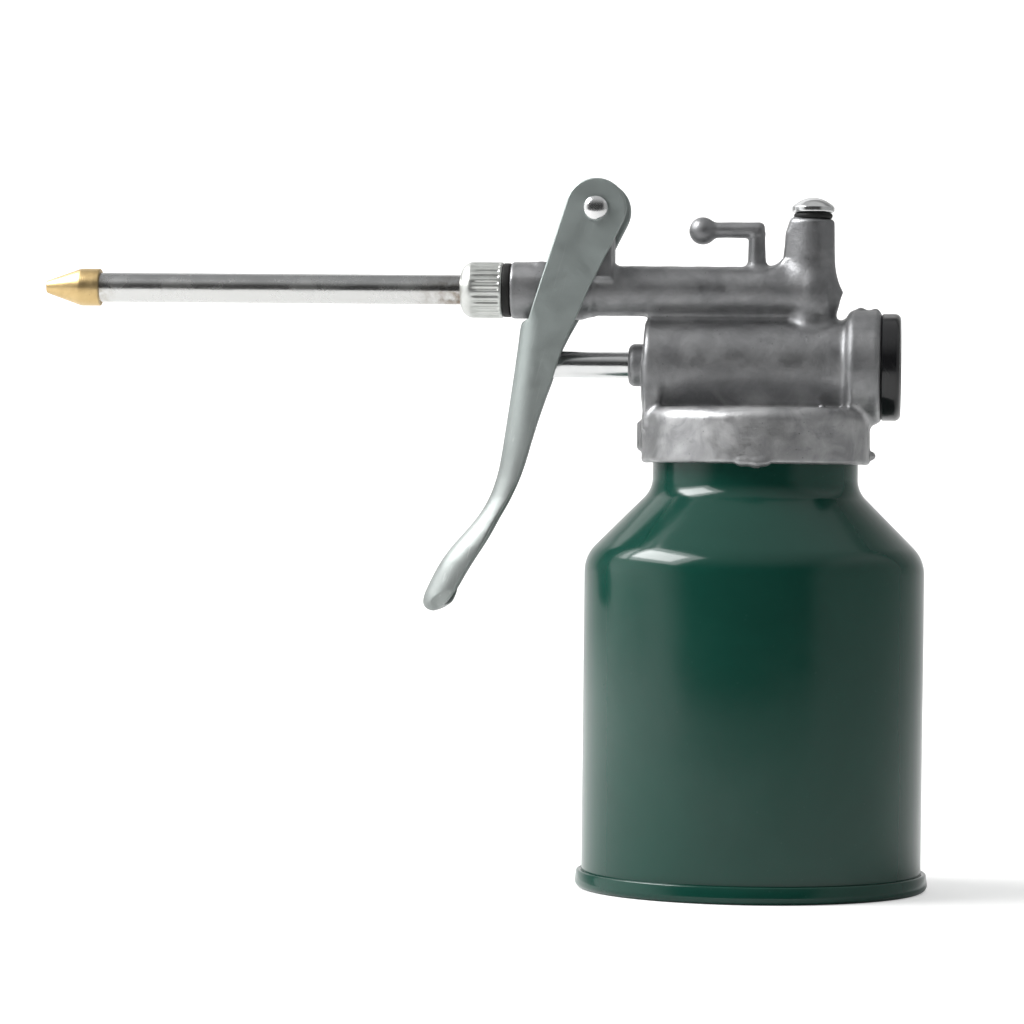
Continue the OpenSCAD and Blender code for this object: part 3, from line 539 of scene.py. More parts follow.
def spline(points, per=6):
    """Smooth curve through points, the same curve a bent strip takes."""
    p = np.array([points[0], *points, points[-1]], float)
    out = []
    for i in range(1, len(p) - 2):
        for t in np.arange(per) / per:
            a, b, c, d = p[i - 1:i + 3]
            out.append(0.5 * ((2 * b) + (c - a) * t + (2 * a - 5 * b + 4 * c - d) * t * t
                              + (3 * b - a - 3 * c + d) * t ** 3))
    return [tuple(q) for q in out] + [tuple(p[-1])]


head_r = 6.5
front_foot = np.array((-48.9, 122.4))
centre = pivot[[0, 2]]


def tangent(point, side):
    """Angle at which a straight edge from point touches the round head."""
    v = np.array(point) - centre
    return math.degrees(math.atan2(v[1], v[0]) + side * math.acos(head_r / np.linalg.norm(v)))


first, last = tangent(front_foot, -1) + 360, tangent(edge[-1], 1)
crown = arc(centre[0], centre[1], head_r, first, last, 40)
lower_back = spline(back[2:] + tip)
side_view = ([(lower_back[0][0] - 0.1, 120.4), (-50.5, 121.5), (-49.7, 122.0), tuple(front_foot)] + crown
             + spline(edge[::-1]) + lower_back[::-1])
print("lever outline", len(side_view), "points, head radius", head_r)

# %% [markdown]
# Bending a mesh strip would need a careful weld where the two cheeks run into the spoon. As a field
# the same rounded box makes all of it, and the sheet's thickness is even everywhere. The two cheeks
# are not quite equal: below the barrel the far one's front edge is set back by about a millimetre.

# %% the channel as a field
step = 0.21
press = Field(lever_lo - 1.2, lever_hi + 1.2, step)
x = press.axes[0][:, None]
z = press.axes[2][None, :]
far = [(-48.0, 190.0)] + spline(back + tip)
depth = -outline_distance(x, z, far + [(-60.0, 40.0), (60.0, 40.0), (60.0, 190.0)])
depth = np.minimum(depth, -outline_distance(x, z, far + [(-66.5, 58.3), (60.0, 58.0), (60.0, 190.0)]))
half = np.interp(z + 0 * x, stations[::-1, 0], stations[::-1, 2])
bend = np.interp(z + 0 * x, stations[::-1, 0], stations[::-1, 3])
trim = outline_distance(x, z, side_view)
d3, h3, b3, t3 = (a[:, None, :].astype(np.float32) for a in (depth, half, bend, trim))
y = press.axes[1][None, :, None]
tube = inside_box([np.abs(y) - h3 + b3, b3 - d3]) - b3
shell = np.abs(tube + gauge / 2) - gauge / 2
short = np.clip(y / 5, 0, 1) * np.clip((d3 - 2) / 3, 0, 1) * np.clip((128 - z[:, None, :]) / 12, 0, 1)
press.d[:] = -smin(-shell, -t3 - 1.15 * short, 0.35)
press.cut(bar("y", pivot[0], pivot[2], 2.08, -9, 9, soft=0.1))
lever = press.mesh("squeeze_lever", "lever")
print("lever", len(lever.data.polygons), "faces,", press.d.shape)
del press

# %% [markdown]
# ## Rivet, rod, plugs and seals
# These are turned from bar. The rivet's near head is a clean dome and its far end is hammered over.
# The piston rod has a rounded end because the lever slides on it. The black plug closes the rear of
# the pump, and its edge carries a small flat rim. The valve plug is domed, with a screwdriver slot.

# %% rivet, rod and rear plug
face = 7.9
rivet = spin("rivet", "lever_rivet",
             [(0, -face - 1.15), (1.6, -face - 1.2), (2.45, -face - 0.95), (2.7, -face - 0.5), (2.7, -face)]
             + [(2.0, -face), (2.0, face), (2.72, face), (2.75, face + 0.12)]
             + [(2.75 * math.cos(a), face + 0.12 + 1.46 * math.sin(a)) for a in np.linspace(0.08, 1.5, 16)]
             + [(0, face + 1.58)], sides=96)
rivet.data.transform(Matrix.Rotation(math.radians(90), 4, "X"))
rivet.data.transform(Matrix.Translation(Vector((pivot[0], 0, pivot[2])) * MM))

rod_lo, rod_hi = box_mm("piston_rod")
rod_r = 2.85
end_r = 4.5
dome = [(end_r * math.sin(a), rod_lo[0] + end_r * (1 - math.cos(a)))
        for a in np.linspace(0, math.asin(rod_r / end_r), 12)]
rod = spin("pump_rod", "piston_rod", dome + [(rod_r, -20.0), (2.0, -20.0), (2.0, rod_hi[0] - 0.3),
           (1.7, rod_hi[0]), (0, rod_hi[0])], along="x", centre=(0, 0, pump_z), sides=96)

plug_lo, plug_hi = box_mm("rear_plug")
pr, px = plug_hi[1], plug_hi[0]
plug_profile = [(0, 23.6), (6.3, 23.6), (6.3, plug_lo[0]), (9.4, plug_lo[0]), (9.4, collar_end),
                (pr - 0.3, collar_end), (pr, collar_end + 0.3)]
plug_profile += arc(pr - 1.3, px - 1.3, 1.3, 0, 90, 8)
plug_profile += [(8.6, px), (8.2, px - 0.35), (3.2, px - 0.35), (2.9, px - 0.9), (0, px - 0.9)]
plug = spin("pump_plug", "rear_plug", plug_profile, along="x", centre=(0, 0, pump_z), sides=160)
print("faces: rivet", len(rivet.data.polygons), "rod", len(rod.data.polygons),
      "plug", len(plug.data.polygons))

# %% [markdown]
# The valve plug could be turned too, but its slot has to be milled across the dome, and a cut through
# a lathed mesh leaves hard slivers. So it is a small field: a shank, a domed head and a slot.

# %% valve plug with its slot, cut as a field so that the slot has soft edges
cap_lo, cap_hi = box_mm("valve_plug")
head_z = box_mm("valve_plug_seal")[1][2]
step = 0.09
cap = Field(cap_lo - 0.6, cap_hi + 0.6, step)
cap_r = cap_hi[1]
high = cap_hi[2] - head_z
round_r = (cap_r ** 2 + (high - 1.1) ** 2) / (2 * (high - 1.1))


def cap_head(x, y, z):
    r = np.sqrt((x - tower_x) ** 2 + y ** 2)
    dome = np.sqrt(r ** 2 + (z - cap_hi[2] + round_r) ** 2) - round_r
    return inside_box([np.maximum(r - cap_r, dome) + 0.35, head_z - z + 0.35 + 0 * r]) - 0.35


cap.add((cap_head, cap_lo, cap_hi), k=0.1)
cap.add(bar("z", tower_x, 0, 3.02, cap_lo[2], head_z + 0.5, soft=0.3), k=0.15)
cap.cut(brick((tower_x - 7, -0.5, cap_hi[2] - 1.1), (tower_x + 7, 0.5, cap_hi[2] + 2), 0.1), k=0.35)
valve_cap = cap.mesh("valve_cap", "valve_plug", sharp=45)
print("valve plug head", round(2 * cap_r, 2), "mm wide,", len(valve_cap.data.polygons), "faces")
del cap

# %% [markdown]
# The two seals that show are rubber. The ring under the valve plug is squeezed, so its edge bulges
# out a little. The union seal is a flat washer with rounded edges. Both are simply turned.

# %% soft seals
seal_lo, seal_hi = box_mm("valve_plug_seal")
mid = (seal_lo[2] + seal_hi[2]) / 2
ring = [(3.12, seal_lo[2]), (3.5, seal_lo[2])] + arc(3.42, mid, 0.75, -80, 80, 10)
ring += [(3.5, seal_hi[2]), (3.12, seal_hi[2])]
spin("valve_ring", "valve_plug_seal", ring, centre=(tower_x, 0, 0), sides=96)
us_lo, us_hi = box_mm("union_seal")
ur = us_hi[1]
washer = soften([(4.68, us_lo[0]), (ur, us_lo[0]), (ur, us_hi[0]), (4.68, us_hi[0])], [0, 0.4, 0.4, 0])
spin("union_ring", "union_seal", washer, along="x", centre=(0, 0, spout_z), sides=120)
print("seals", round(2 * seal_hi[1], 2), "and", round(2 * ur, 2), "mm wide")

# %% [markdown]
# ## Springs
# Both springs are wound from wire and their end turns lie close, so that they stand square. Each one
# is given its own mesh and stands at its full length.

# %% wind the springs
def wind(name, node, along, radius, wire, turns, around=12):
    lo, hi = box_mm(node)
    k = "xyz".index(along)
    length, mid = hi[k] - lo[k], (lo + hi) / 2
    t = np.linspace(0, turns, turns * 36 + 1)
    tight = wire * 2.1
    rise = (length - 2 * wire - 2 * tight) / (turns - 2)
    run = wire + np.where(t < 1, tight * t, tight + rise * (np.minimum(t, turns - 1) - 1)
                          + tight * np.maximum(t - turns + 1, 0))
    b = np.arange(around) * 2 * math.pi / around
    r = radius + wire * np.cos(b)[None, :]
    a = (2 * math.pi * t)[:, None]
    spot = [r * np.cos(a), r * np.sin(a), run[:, None] + wire * np.sin(b)[None, :] + 0 * a]
    if along == "x":
        spot = [spot[2] + lo[0], spot[1] + mid[1], mid[2] - spot[0]]
    else:
        spot = [spot[0] + mid[0], spot[1] + mid[1], spot[2] + lo[2]]
    points = np.stack(spot, axis=2).reshape(-1, 3) * MM
    at = np.arange(len(t) - 1)[:, None] * around
    one, two = np.arange(around), (np.arange(around) + 1) % around
    quads = np.stack([at + one, at + two, at + two + around, at + one + around], axis=2).reshape(-1, 4)
    ends = [list(range(around))[::-1], list(range(len(points) - around, len(points)))]
    return new_piece(name, points, quads.tolist() + ends, node, 60)


def shorten(spring, node, k):
    """Gives a spring its own mesh; the joint's axis and high end are worked out but not applied."""
    lo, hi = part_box(node)
    axis, anchor = [0, 0, 0], [(a + b) / 2 for a, b in zip(lo, hi)]
    axis[k], anchor[k] = 1, hi[k]
    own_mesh(spring)


return_coil = wind("return_coil", "return_spring", "x", 5.3, 0.5, 11)
shorten(return_coil, "return_spring", 0)
valve_coil = wind("valve_coil", "outlet_spring", "z", 1.9, 0.25, 6)
shorten(valve_coil, "outlet_spring", 2)

# %% [markdown]
# ## Spout, union nut and brass tip
# The union nut is turned, then knurled with straight flutes that run out before its rounded nose. The
# tube is drawn, so it is smooth but not perfect. The brass tip is turned to a cone with a short
# straight part behind it, and its bore ends in a half millimetre hole.

# %% union nut with rounded flutes
nut_lo, nut_hi = box_mm("union_nut")
nut_r = nut_hi[1]
flutes = 26


flute_deep = 0.27


def knurl(r, h, angle):
    out = np.full(angle.shape, float(r))
    if r > nut_r - 0.7:
        front = min(1.0, max(0.0, (h - nut_lo[0] - 2.5) / 1.6))
        rear_end = min(1.0, max(0.0, (nut_hi[0] - 0.45 - h) / 0.35))
        wave = 0.5 - 0.5 * np.cos(angle * flutes)
        out -= flute_deep * (front * rear_end) * wave ** 1.6 * min(1.0, (r - nut_r + 0.7) / 0.4)
    return out


nose, nut_bore, spigot_bore = 3.2, 3.32, 4.73
nut_profile = [(nut_bore, nut_lo[0] + 0.15), (nut_bore + 0.13, nut_lo[0])]
nut_profile += arc(nut_r - nose + 0.12, nut_lo[0] + nose, nose, -78, 0, 14)[:-1]
nut_profile = [(min(r, nut_r), h) for r, h in nut_profile]
nut_profile += line((nut_r, nut_lo[0] + nose), (nut_r, nut_hi[0] - 0.45), 26)
nut_profile += [(nut_r - 0.12, nut_hi[0] - 0.15), (nut_r - 0.4, nut_hi[0]), (spigot_bore, nut_hi[0]),
                (spigot_bore, nut_lo[0] + 2.1), (nut_bore, nut_lo[0] + 2.1)]
nut = spin("knurled_nut", "union_nut", nut_profile, along="x", centre=(0, 0, spout_z), sides=flutes * 16,
           shape=knurl, sharp=60)
print("union nut", flutes, "flutes,", round(2 * nut_r, 2), "mm across,", len(nut.data.polygons), "faces")

# %% [markdown]
# The tube and the tip are turned as well. The tube's ends are only broken, not rounded, as a tube is
# cut with a wheel. The tip's corners are softened one by one: crisp at the hole, rounder at the cone.

# %% tube and tip
tube_lo, tube_hi = box_mm("spout_tube")
tube_r = tube_hi[1]
tube_profile = [(tube_r - 0.7, tube_lo[0]), (tube_r - 0.2, tube_lo[0]), (tube_r, tube_lo[0] + 0.2)]
tube_profile += line((tube_r, tube_lo[0] + 1), (tube_r, tube_hi[0] - 0.5), 40)
tube_profile += [(tube_r, tube_hi[0]), (tube_r - 0.7, tube_hi[0])]
tube = spin("spout", "spout_tube", tube_profile, along="x", centre=(0, 0, spout_z), sides=96)

tip_lo, tip_hi = box_mm("nozzle_tip")
tr = tip_hi[1]
end, rear = tip_lo[0], tip_hi[0]
nozzle_profile = soften(
    [(0.5, end), (1.3, end), (tr, rear - 4.3), (tr, rear), (tube_r + 0.01, rear), (tube_r + 0.01, rear - 5.0),
     (1.0, rear - 8.4), (0.5, rear - 9.2)],
    [0.1, 0.25, 0.35, 0.3, 0.1, 0, 0, 0])
nozzle = spin("brass_tip", "nozzle_tip", nozzle_profile, along="x", centre=(0, 0, spout_z), sides=128,
              sharp=30)
print("spout length mm", round(tube_hi[0] - end, 1), "faces: tube", len(tube.data.polygons),
      "tip", len(nozzle.data.polygons))

# %% [markdown]
# ## Finishes
# Each finish is a recipe of layers: a base tone, a slow change of tone over the piece, fine marks and
# a very small relief. The layers that several finishes share are node groups with named inputs. They
# only hand out masks and heights; the surface shader stays in each finish. Points are measured on the
# piece itself, in metres, so a grain of 900 means a little over a millimetre.

# %% small helpers for node trees
def wire(tree, a, b):
    tree.links.new(b, a)


def put(tree, kind, **settings):
    node = tree.nodes.new(kind)
    for key, value in settings.items():
        if key in node.inputs.keys():
            node.inputs[key].default_value = value
        else:
            setattr(node, key, value)
    return node


def group(name, inputs, outputs, build):
    """Makes a node group once. inputs: name -> default number; outputs: list of names."""
    tree = bpy.data.node_groups.new(name, "ShaderNodeTree")
    for key, value in inputs.items():
        tree.interface.new_socket(key, in_out="INPUT", socket_type="NodeSocketFloat").default_value = value
    for key in outputs:
        tree.interface.new_socket(key, in_out="OUTPUT", socket_type="NodeSocketFloat")
    start, stop = tree.nodes.new("NodeGroupInput"), tree.nodes.new("NodeGroupOutput")
    build(tree, start.outputs, stop.inputs)
    return tree


def ramp(tree, low, high, a=0.0, b=1.0):
    return put(tree, "ShaderNodeMapRange", **{"From Min": low, "From Max": high, "To Min": a, "To Max": b})


print("node helpers: wire, put, group, ramp")

# %% [markdown]
# *Cloud* is a slow, soft change, such as patina or uneven plating. *Grain* is a fine, even roughness.
# *Scratches* are short thin lines in one direction, made by squeezing a noise flat along that line and
# keeping only its peaks. With the angle at a right angle they become streaks along a drawn tube or a
# cast barrel. *Pits* are small dots, thinned out by a second noise so that they come in patches.

# %% shared layers
def build_cloud(tree, i, o):
    at = put(tree, "ShaderNodeTexCoord")
    noise = put(tree, "ShaderNodeTexNoise", Detail=4.0, Roughness=0.55, Distortion=0.6)
    edge_on = ramp(tree, 0.35, 0.65)
    wire(tree, at.outputs["Object"], noise.inputs["Vector"])
    wire(tree, i["Scale"], noise.inputs["Scale"])
    wire(tree, noise.outputs["Fac"], edge_on.inputs["Value"])
    wire(tree, edge_on.outputs["Result"], o["Mask"])


def build_grain(tree, i, o):
    at = put(tree, "ShaderNodeTexCoord")
    noise = put(tree, "ShaderNodeTexNoise", Detail=6.0, Roughness=0.65)
    wire(tree, at.outputs["Object"], noise.inputs["Vector"])
    wire(tree, i["Scale"], noise.inputs["Scale"])
    wire(tree, noise.outputs["Fac"], o["Height"])


def build_scratches(tree, i, o):
    at = put(tree, "ShaderNodeTexCoord")
    turn = put(tree, "ShaderNodeVectorRotate", rotation_type="Y_AXIS")
    flat = put(tree, "ShaderNodeMapping")
    flat.inputs["Scale"].default_value = (1.0, 1.0, 0.035)
    noise = put(tree, "ShaderNodeTexNoise", Detail=3.0, Roughness=0.7)
    peaks = ramp(tree, 0.62, 0.74)
    wire(tree, at.outputs["Object"], turn.inputs["Vector"])
    wire(tree, i["Angle"], turn.inputs["Angle"])
    wire(tree, turn.outputs["Vector"], flat.inputs["Vector"])
    wire(tree, flat.outputs["Vector"], noise.inputs["Vector"])
    wire(tree, i["Scale"], noise.inputs["Scale"])
    wire(tree, noise.outputs["Fac"], peaks.inputs["Value"])
    wire(tree, peaks.outputs["Result"], o["Mask"])


def build_pits(tree, i, o):
    at = put(tree, "ShaderNodeTexCoord")
    cells = put(tree, "ShaderNodeTexVoronoi", Randomness=1.0)
    dots = ramp(tree, 0.16, 0.06)
    here = put(tree, "ShaderNodeTexNoise", Detail=2.0)
    some = ramp(tree, 0.52, 0.62)
    both = put(tree, "ShaderNodeMath", operation="MULTIPLY")
    third = put(tree, "ShaderNodeMath", operation="MULTIPLY")
    third.inputs[1].default_value = 0.3
    wire(tree, at.outputs["Object"], cells.inputs["Vector"])
    wire(tree, at.outputs["Object"], here.inputs["Vector"])
    wire(tree, i["Scale"], cells.inputs["Scale"])
    wire(tree, i["Scale"], third.inputs[0])
    wire(tree, third.outputs[0], here.inputs["Scale"])
    wire(tree, cells.outputs["Distance"], dots.inputs["Value"])
    wire(tree, here.outputs["Fac"], some.inputs["Value"])
    wire(tree, dots.outputs["Result"], both.inputs[0])
    wire(tree, some.outputs["Result"], both.inputs[1])
    wire(tree, both.outputs[0], o["Mask"])


cloud = group("cloud", {"Scale": 60.0}, ["Mask"], build_cloud)
grain = group("grain", {"Scale": 900.0}, ["Height"], build_grain)
scratches = group("scratches", {"Scale": 2500.0, "Angle": 0.0}, ["Mask"], build_scratches)
pits = group("pits", {"Scale": 600.0}, ["Mask"], build_pits)
print("shared layers", [g.name for g in bpy.data.node_groups])

# %% [markdown]
# A finish starts from its shader with plain numbers, then `tone` mixes a second colour in where a mask
# says so, `gloss` turns a mask into a range of roughness, and `relief` adds a bump of a real height.

# %% a small workbench for finishes
class Finish:
    def __init__(self, name, colour, rough, metal=0.0, **more):
        self.name = name
        self.mat = bpy.data.materials.new(name + "_finish")
        self.mat.use_nodes = True
        self.tree = self.mat.node_tree
        self.tree.nodes.clear()
        self.out = put(self.tree, "ShaderNodeOutputMaterial")
        self.skin = put(self.tree, "ShaderNodeBsdfPrincipled")
        plain = {"Base Color": (*colour, 1.0), "Roughness": rough, "Metallic": metal, **more}
        for key, value in plain.items():
            self.skin.inputs[key].default_value = value
        wire(self.tree, self.skin.outputs[0], self.out.inputs["Surface"])
        self.colour = None
        self.bump = None

    def layer(self, tree, **inputs):
        node = put(self.tree, "ShaderNodeGroup", node_tree=tree)
        for key, value in inputs.items():
            node.inputs[key].default_value = value
        return node.outputs[0]

    def tone(self, mask, colour, share=1.0):
        part = put(self.tree, "ShaderNodeMath", operation="MULTIPLY")
        part.inputs[1].default_value = share
        mix = put(self.tree, "ShaderNodeMix", data_type="RGBA")
        base = self.skin.inputs["Base Color"]
        if self.colour is None:
            mix.inputs[6].default_value = base.default_value
        else:
            wire(self.tree, self.colour, mix.inputs[6])
        mix.inputs[7].default_value = (*colour, 1.0)
        wire(self.tree, mask, part.inputs[0])
        wire(self.tree, part.outputs[0], mix.inputs[0])
        self.colour = mix.outputs[2]
        wire(self.tree, self.colour, base)

    def gloss(self, mask, low, high, socket="Roughness"):
        span = ramp(self.tree, 0.0, 1.0, low, high)
        wire(self.tree, mask, span.inputs["Value"])
        wire(self.tree, span.outputs["Result"], self.skin.inputs[socket])

    def relief(self, height, deep):
        """deep is the real depth of the marks, in metres."""
        bump = put(self.tree, "ShaderNodeBump", Strength=1.0, Distance=deep)
        wire(self.tree, height, bump.inputs["Height"])
        if self.bump is not None:
            wire(self.tree, self.bump, bump.inputs["Normal"])
        self.bump = bump.outputs["Normal"]
        wire(self.tree, self.bump, self.skin.inputs["Normal"])

    def near_x(self, x, reach):
        """Mask that is 1 at x (metres) and fades out over reach."""
        at = put(self.tree, "ShaderNodeTexCoord")
        split = put(self.tree, "ShaderNodeSeparateXYZ")
        gap = put(self.tree, "ShaderNodeMath", operation="SUBTRACT")
        gap.inputs[1].default_value = x
        size = put(self.tree, "ShaderNodeMath", operation="ABSOLUTE")
        fade = ramp(self.tree, reach, 0.0)
        wire(self.tree, at.outputs["Object"], split.inputs[0])
        wire(self.tree, split.outputs["X"], gap.inputs[0])
        wire(self.tree, gap.outputs[0], size.inputs[0])
        wire(self.tree, size.outputs[0], fade.inputs["Value"])
        return fade.outputs["Result"]

    def above(self, z, fade):
        """Mask that grows from 0 to 1 over fade metres above height z."""
        at = put(self.tree, "ShaderNodeTexCoord")
        split = put(self.tree, "ShaderNodeSeparateXYZ")
        grow = ramp(self.tree, z, z + fade)
        wire(self.tree, at.outputs["Object"], split.inputs[0])
        wire(self.tree, split.outputs["Z"], grow.inputs["Value"])
        return grow.outputs["Result"]

    def times(self, a, b):
        both = put(self.tree, "ShaderNodeMath", operation="MULTIPLY")
        wire(self.tree, a, both.inputs[0])
        wire(self.tree, b, both.inputs[1])
        return both.outputs[0]


print("a finish can", [name for name in vars(Finish) if not name.startswith("_")])

# %% [markdown]
# **Green enamel.** Stoved paint over steel: deep colour, a clear wet-looking top and the faint ripple
# that sprayed paint always has. A little dust and a few dull spots keep it from looking like glass.
#
# ** Zinc casting.** Grey and satin, with darker flow marks, bright rubbed patches, small pits and painted shade above the skirt and by the lever.

# %% paint and casting
enamel = Finish("green_enamel", (0.0042, 0.042, 0.030), 0.12, 0.0, IOR=1.43)
enamel.tone(enamel.layer(cloud, Scale=28.0), (0.0058, 0.052, 0.037), 0.7)
enamel.tone(enamel.layer(pits, Scale=520.0), (0.05, 0.11, 0.09), 0.10)
enamel.gloss(enamel.layer(cloud, Scale=45.0), 0.10, 0.17)
enamel.relief(enamel.layer(grain, Scale=160.0), 0.000012)

zinc = Finish("zinc_casting", (0.50, 0.50, 0.505), 0.42, 0.86)
zinc.tone(zinc.layer(scratches, Scale=260.0, Angle=1.5708), (0.19, 0.195, 0.205), 0.55)
zinc.tone(zinc.layer(cloud, Scale=130.0), (0.13, 0.133, 0.14), 0.62)
zinc.tone(zinc.layer(scratches, Scale=900.0), (0.50, 0.49, 0.48), 0.30)
# painted shade: the casting above the top of the skirt is painted darker than the skirt
zinc.tone(zinc.above(skirt_top * MM, 0.004), (0.18, 0.182, 0.187), 0.66)
# painted shade: the block and lug beside the lever are painted darker where the cheeks shade them
zinc.tone(zinc.near_x(-0.044, 0.012), (0.15, 0.15, 0.155), 0.2)
zinc.tone(zinc.layer(pits, Scale=700.0), (0.09, 0.09, 0.09), 0.6)
zinc.gloss(zinc.layer(cloud, Scale=220.0), 0.38, 0.58)
zinc.relief(zinc.layer(grain, Scale=380.0), 0.00009)
zinc.relief(zinc.layer(grain, Scale=1500.0), 0.00004)
print("nodes: enamel", len(enamel.tree.nodes), "casting", len(zinc.tree.nodes))

# %% [markdown]
# ** Plated steel** is duller than chrome, slightly green and lightly scratched along the lever, and its
# head is painted lighter as painted light. The **tube** is brighter, streaked along its length, painted
# darker on top as painted shade, and stained brown where oil has crept out of the nut. The nut has
# **bright plate** and the rod, rivet and valve plug are **polished**. **Brass** shows the fine rings of
# the turning tool, and the springs are dark wire.

# %% metals
plate_steel = Finish("plated_steel", (0.31, 0.332, 0.324), 0.44, 0.86)
plate_steel.tone(plate_steel.layer(cloud, Scale=70.0), (0.25, 0.27, 0.263), 0.6)
# painted light: the lever's head above 85 mm is painted lighter than its lower part
plate_steel.tone(plate_steel.above(0.085, 0.045), (0.38, 0.425, 0.415), 0.80)
plate_steel.tone(plate_steel.layer(scratches, Scale=1400.0, Angle=-0.25), (0.62, 0.64, 0.63), 0.30)
plate_steel.tone(plate_steel.layer(pits, Scale=1100.0), (0.20, 0.20, 0.19), 0.25)
plate_steel.gloss(plate_steel.layer(cloud, Scale=160.0), 0.44, 0.56)
plate_steel.relief(plate_steel.layer(grain, Scale=700.0), 0.00003)

tube_steel = Finish("plated_tube", (0.60, 0.60, 0.59), 0.20, 1.0)
tube_steel.tone(tube_steel.layer(scratches, Scale=1600.0, Angle=1.5708), (0.42, 0.42, 0.40), 0.4)
oil_stain = tube_steel.times(tube_steel.near_x(nut_lo[0] * MM, 0.011), tube_steel.layer(cloud, Scale=420.0))
tube_steel.tone(oil_stain, (0.13, 0.08, 0.035), 0.95)
tip_stain = tube_steel.times(tube_steel.near_x(rear * MM, 0.004), tube_steel.layer(cloud, Scale=500.0))
tube_steel.tone(tip_stain, (0.25, 0.20, 0.12), 0.6)
# painted shade: the top of the tube is painted darker, which dims the ceiling's reflection there
tube_steel.tone(tube_steel.above((spout_z + 0.4) * MM, 0.0014), (0.30, 0.305, 0.31), 0.75)
tube_steel.gloss(tube_steel.layer(cloud, Scale=190.0), 0.18, 0.30)
tube_steel.relief(tube_steel.layer(scratches, Scale=1200.0, Angle=1.5708), 0.000012)

bright = Finish("bright_plate", (0.60, 0.61, 0.59), 0.36, 1.0)
bright.tone(bright.layer(cloud, Scale=300.0), (0.50, 0.51, 0.49), 0.6)
bright.gloss(bright.layer(grain, Scale=600.0), 0.34, 0.46)
bright.relief(bright.layer(grain, Scale=1300.0), 0.000008)

polish = Finish("polished_steel", (0.74, 0.74, 0.74), 0.08, 1.0)
polish.tone(polish.layer(cloud, Scale=260.0), (0.60, 0.61, 0.62), 0.5)
polish.gloss(polish.layer(grain, Scale=500.0), 0.15, 0.25)
polish.relief(polish.layer(scratches, Scale=2200.0, Angle=1.5708), 0.000006)

brass = Finish("brass", (0.62, 0.46, 0.23), 0.34, 1.0)
brass.tone(brass.layer(cloud, Scale=240.0), (0.46, 0.32, 0.14), 0.55)
brass.tone(brass.layer(pits, Scale=900.0), (0.12, 0.07, 0.03), 0.4)
brass.gloss(brass.layer(cloud, Scale=350.0), 0.32, 0.46)
rings = put(brass.tree, "ShaderNodeTexWave", bands_direction="X", Scale=700.0, Distortion=0.4)
wire(brass.tree, put(brass.tree, "ShaderNodeTexCoord").outputs["Object"], rings.inputs["Vector"])
brass.relief(rings.outputs["Fac"], 0.000012)

wire_steel = Finish("spring_steel", (0.36, 0.36, 0.37), 0.32, 1.0)
wire_steel.tone(wire_steel.layer(cloud, Scale=300.0), (0.22, 0.22, 0.24), 0.6)
wire_steel.gloss(wire_steel.layer(grain, Scale=900.0), 0.24, 0.42)
metals = (plate_steel, tube_steel, bright, polish, brass, wire_steel)
print("nodes:", {f.name: len(f.tree.nodes) for f in metals})

# %% [markdown]
# **Rubber** is matt with a dusty bloom. **Black plastic** is moulded and glossy, with hair scratches.

# %% rubber and plastic, then every piece gets its finish
rubber = Finish("black_rubber", (0.010, 0.010, 0.010), 0.62, 0.0, **{"Specular IOR Level": 0.25})
rubber.tone(rubber.layer(cloud, Scale=300.0), (0.030, 0.029, 0.027), 0.5)
rubber.gloss(rubber.layer(grain, Scale=800.0), 0.45, 0.75)
rubber.relief(rubber.layer(grain, Scale=1600.0), 0.00003)

plastic = Finish("black_plastic", (0.008, 0.008, 0.009), 0.14, 0.0, **{"Specular IOR Level": 0.55})
plastic.tone(plastic.layer(scratches, Scale=1800.0, Angle=0.6), (0.05, 0.05, 0.05), 0.5)
plastic.gloss(plastic.layer(cloud, Scale=150.0), 0.10, 0.24)
plastic.relief(plastic.layer(grain, Scale=400.0), 0.000015)

finishes = {f.name: f.mat for f in (enamel, zinc, *metals, rubber, plastic)}
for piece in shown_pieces():
    slot = piece.get("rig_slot") or slots[piece["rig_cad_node"]]
    piece.data.materials.clear()
    piece.data.materials.append(finishes[slot])
    if "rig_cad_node" in piece:
        piece.data.polygons.foreach_set("use_smooth", [True] * len(piece.data.polygons))
        piece.data.set_sharp_from_angle(angle=math.radians(32))

# %% [markdown]
# ## Stage, light and camera
# A pale sweep of paper runs under and behind the can. The room is dim, so the paint stays dark where
# nothing bright faces it. A soft box stands high on the left, with a wider and dimmer one just behind
# it, so that its reflection in the paint is bright in the middle and fades at the edge. The room's left
# wall draws the long pale band down the can, its right wall edges the other side, and its ceiling
# brings out the tops of the casting and the tube. A last light washes the paper.

# %% paper sweep
def sweep(width=5.0, depth=0.6, back_y=1.6, rise=3.0, curl=0.6):
    turn = [(back_y - curl + curl * math.sin(a), curl - curl * math.cos(a))
            for a in np.linspace(0, math.pi / 2, 24)]
    rows = [(-depth, 0.0), (0.0, 0.0)] + turn + [(back_y, rise)]
    points = [(s * width / 2, y, z) for y, z in rows for s in (-1, 1)]
    faces = [(2 * i, 2 * i + 1, 2 * i + 3, 2 * i + 2) for i in range(len(rows) - 1)]
    mesh = bpy.data.meshes.new("paper")
    mesh.from_pydata(points, [], faces)
    mesh.polygons.foreach_set("use_smooth", [True] * len(faces))
    made = bpy.data.objects.new("paper", mesh)
    bpy.context.scene.collection.objects.link(made)
    return made


paper = Finish("paper", (0.80, 0.80, 0.795), 0.85)
paper.tone(paper.layer(cloud, Scale=3.0), (0.78, 0.78, 0.78), 0.5)
direct = put(paper.tree, "ShaderNodeLightPath")
paper.gloss(direct.outputs["Is Camera Ray"], 0.0, 0.45, "Emission Strength")
paper.skin.inputs["Emission Color"].default_value = (1.0, 1.0, 1.0, 1.0)
floor = sweep()
floor.data.materials.append(paper.mat)


print("paper", [round(v, 2) for v in floor.dimensions])

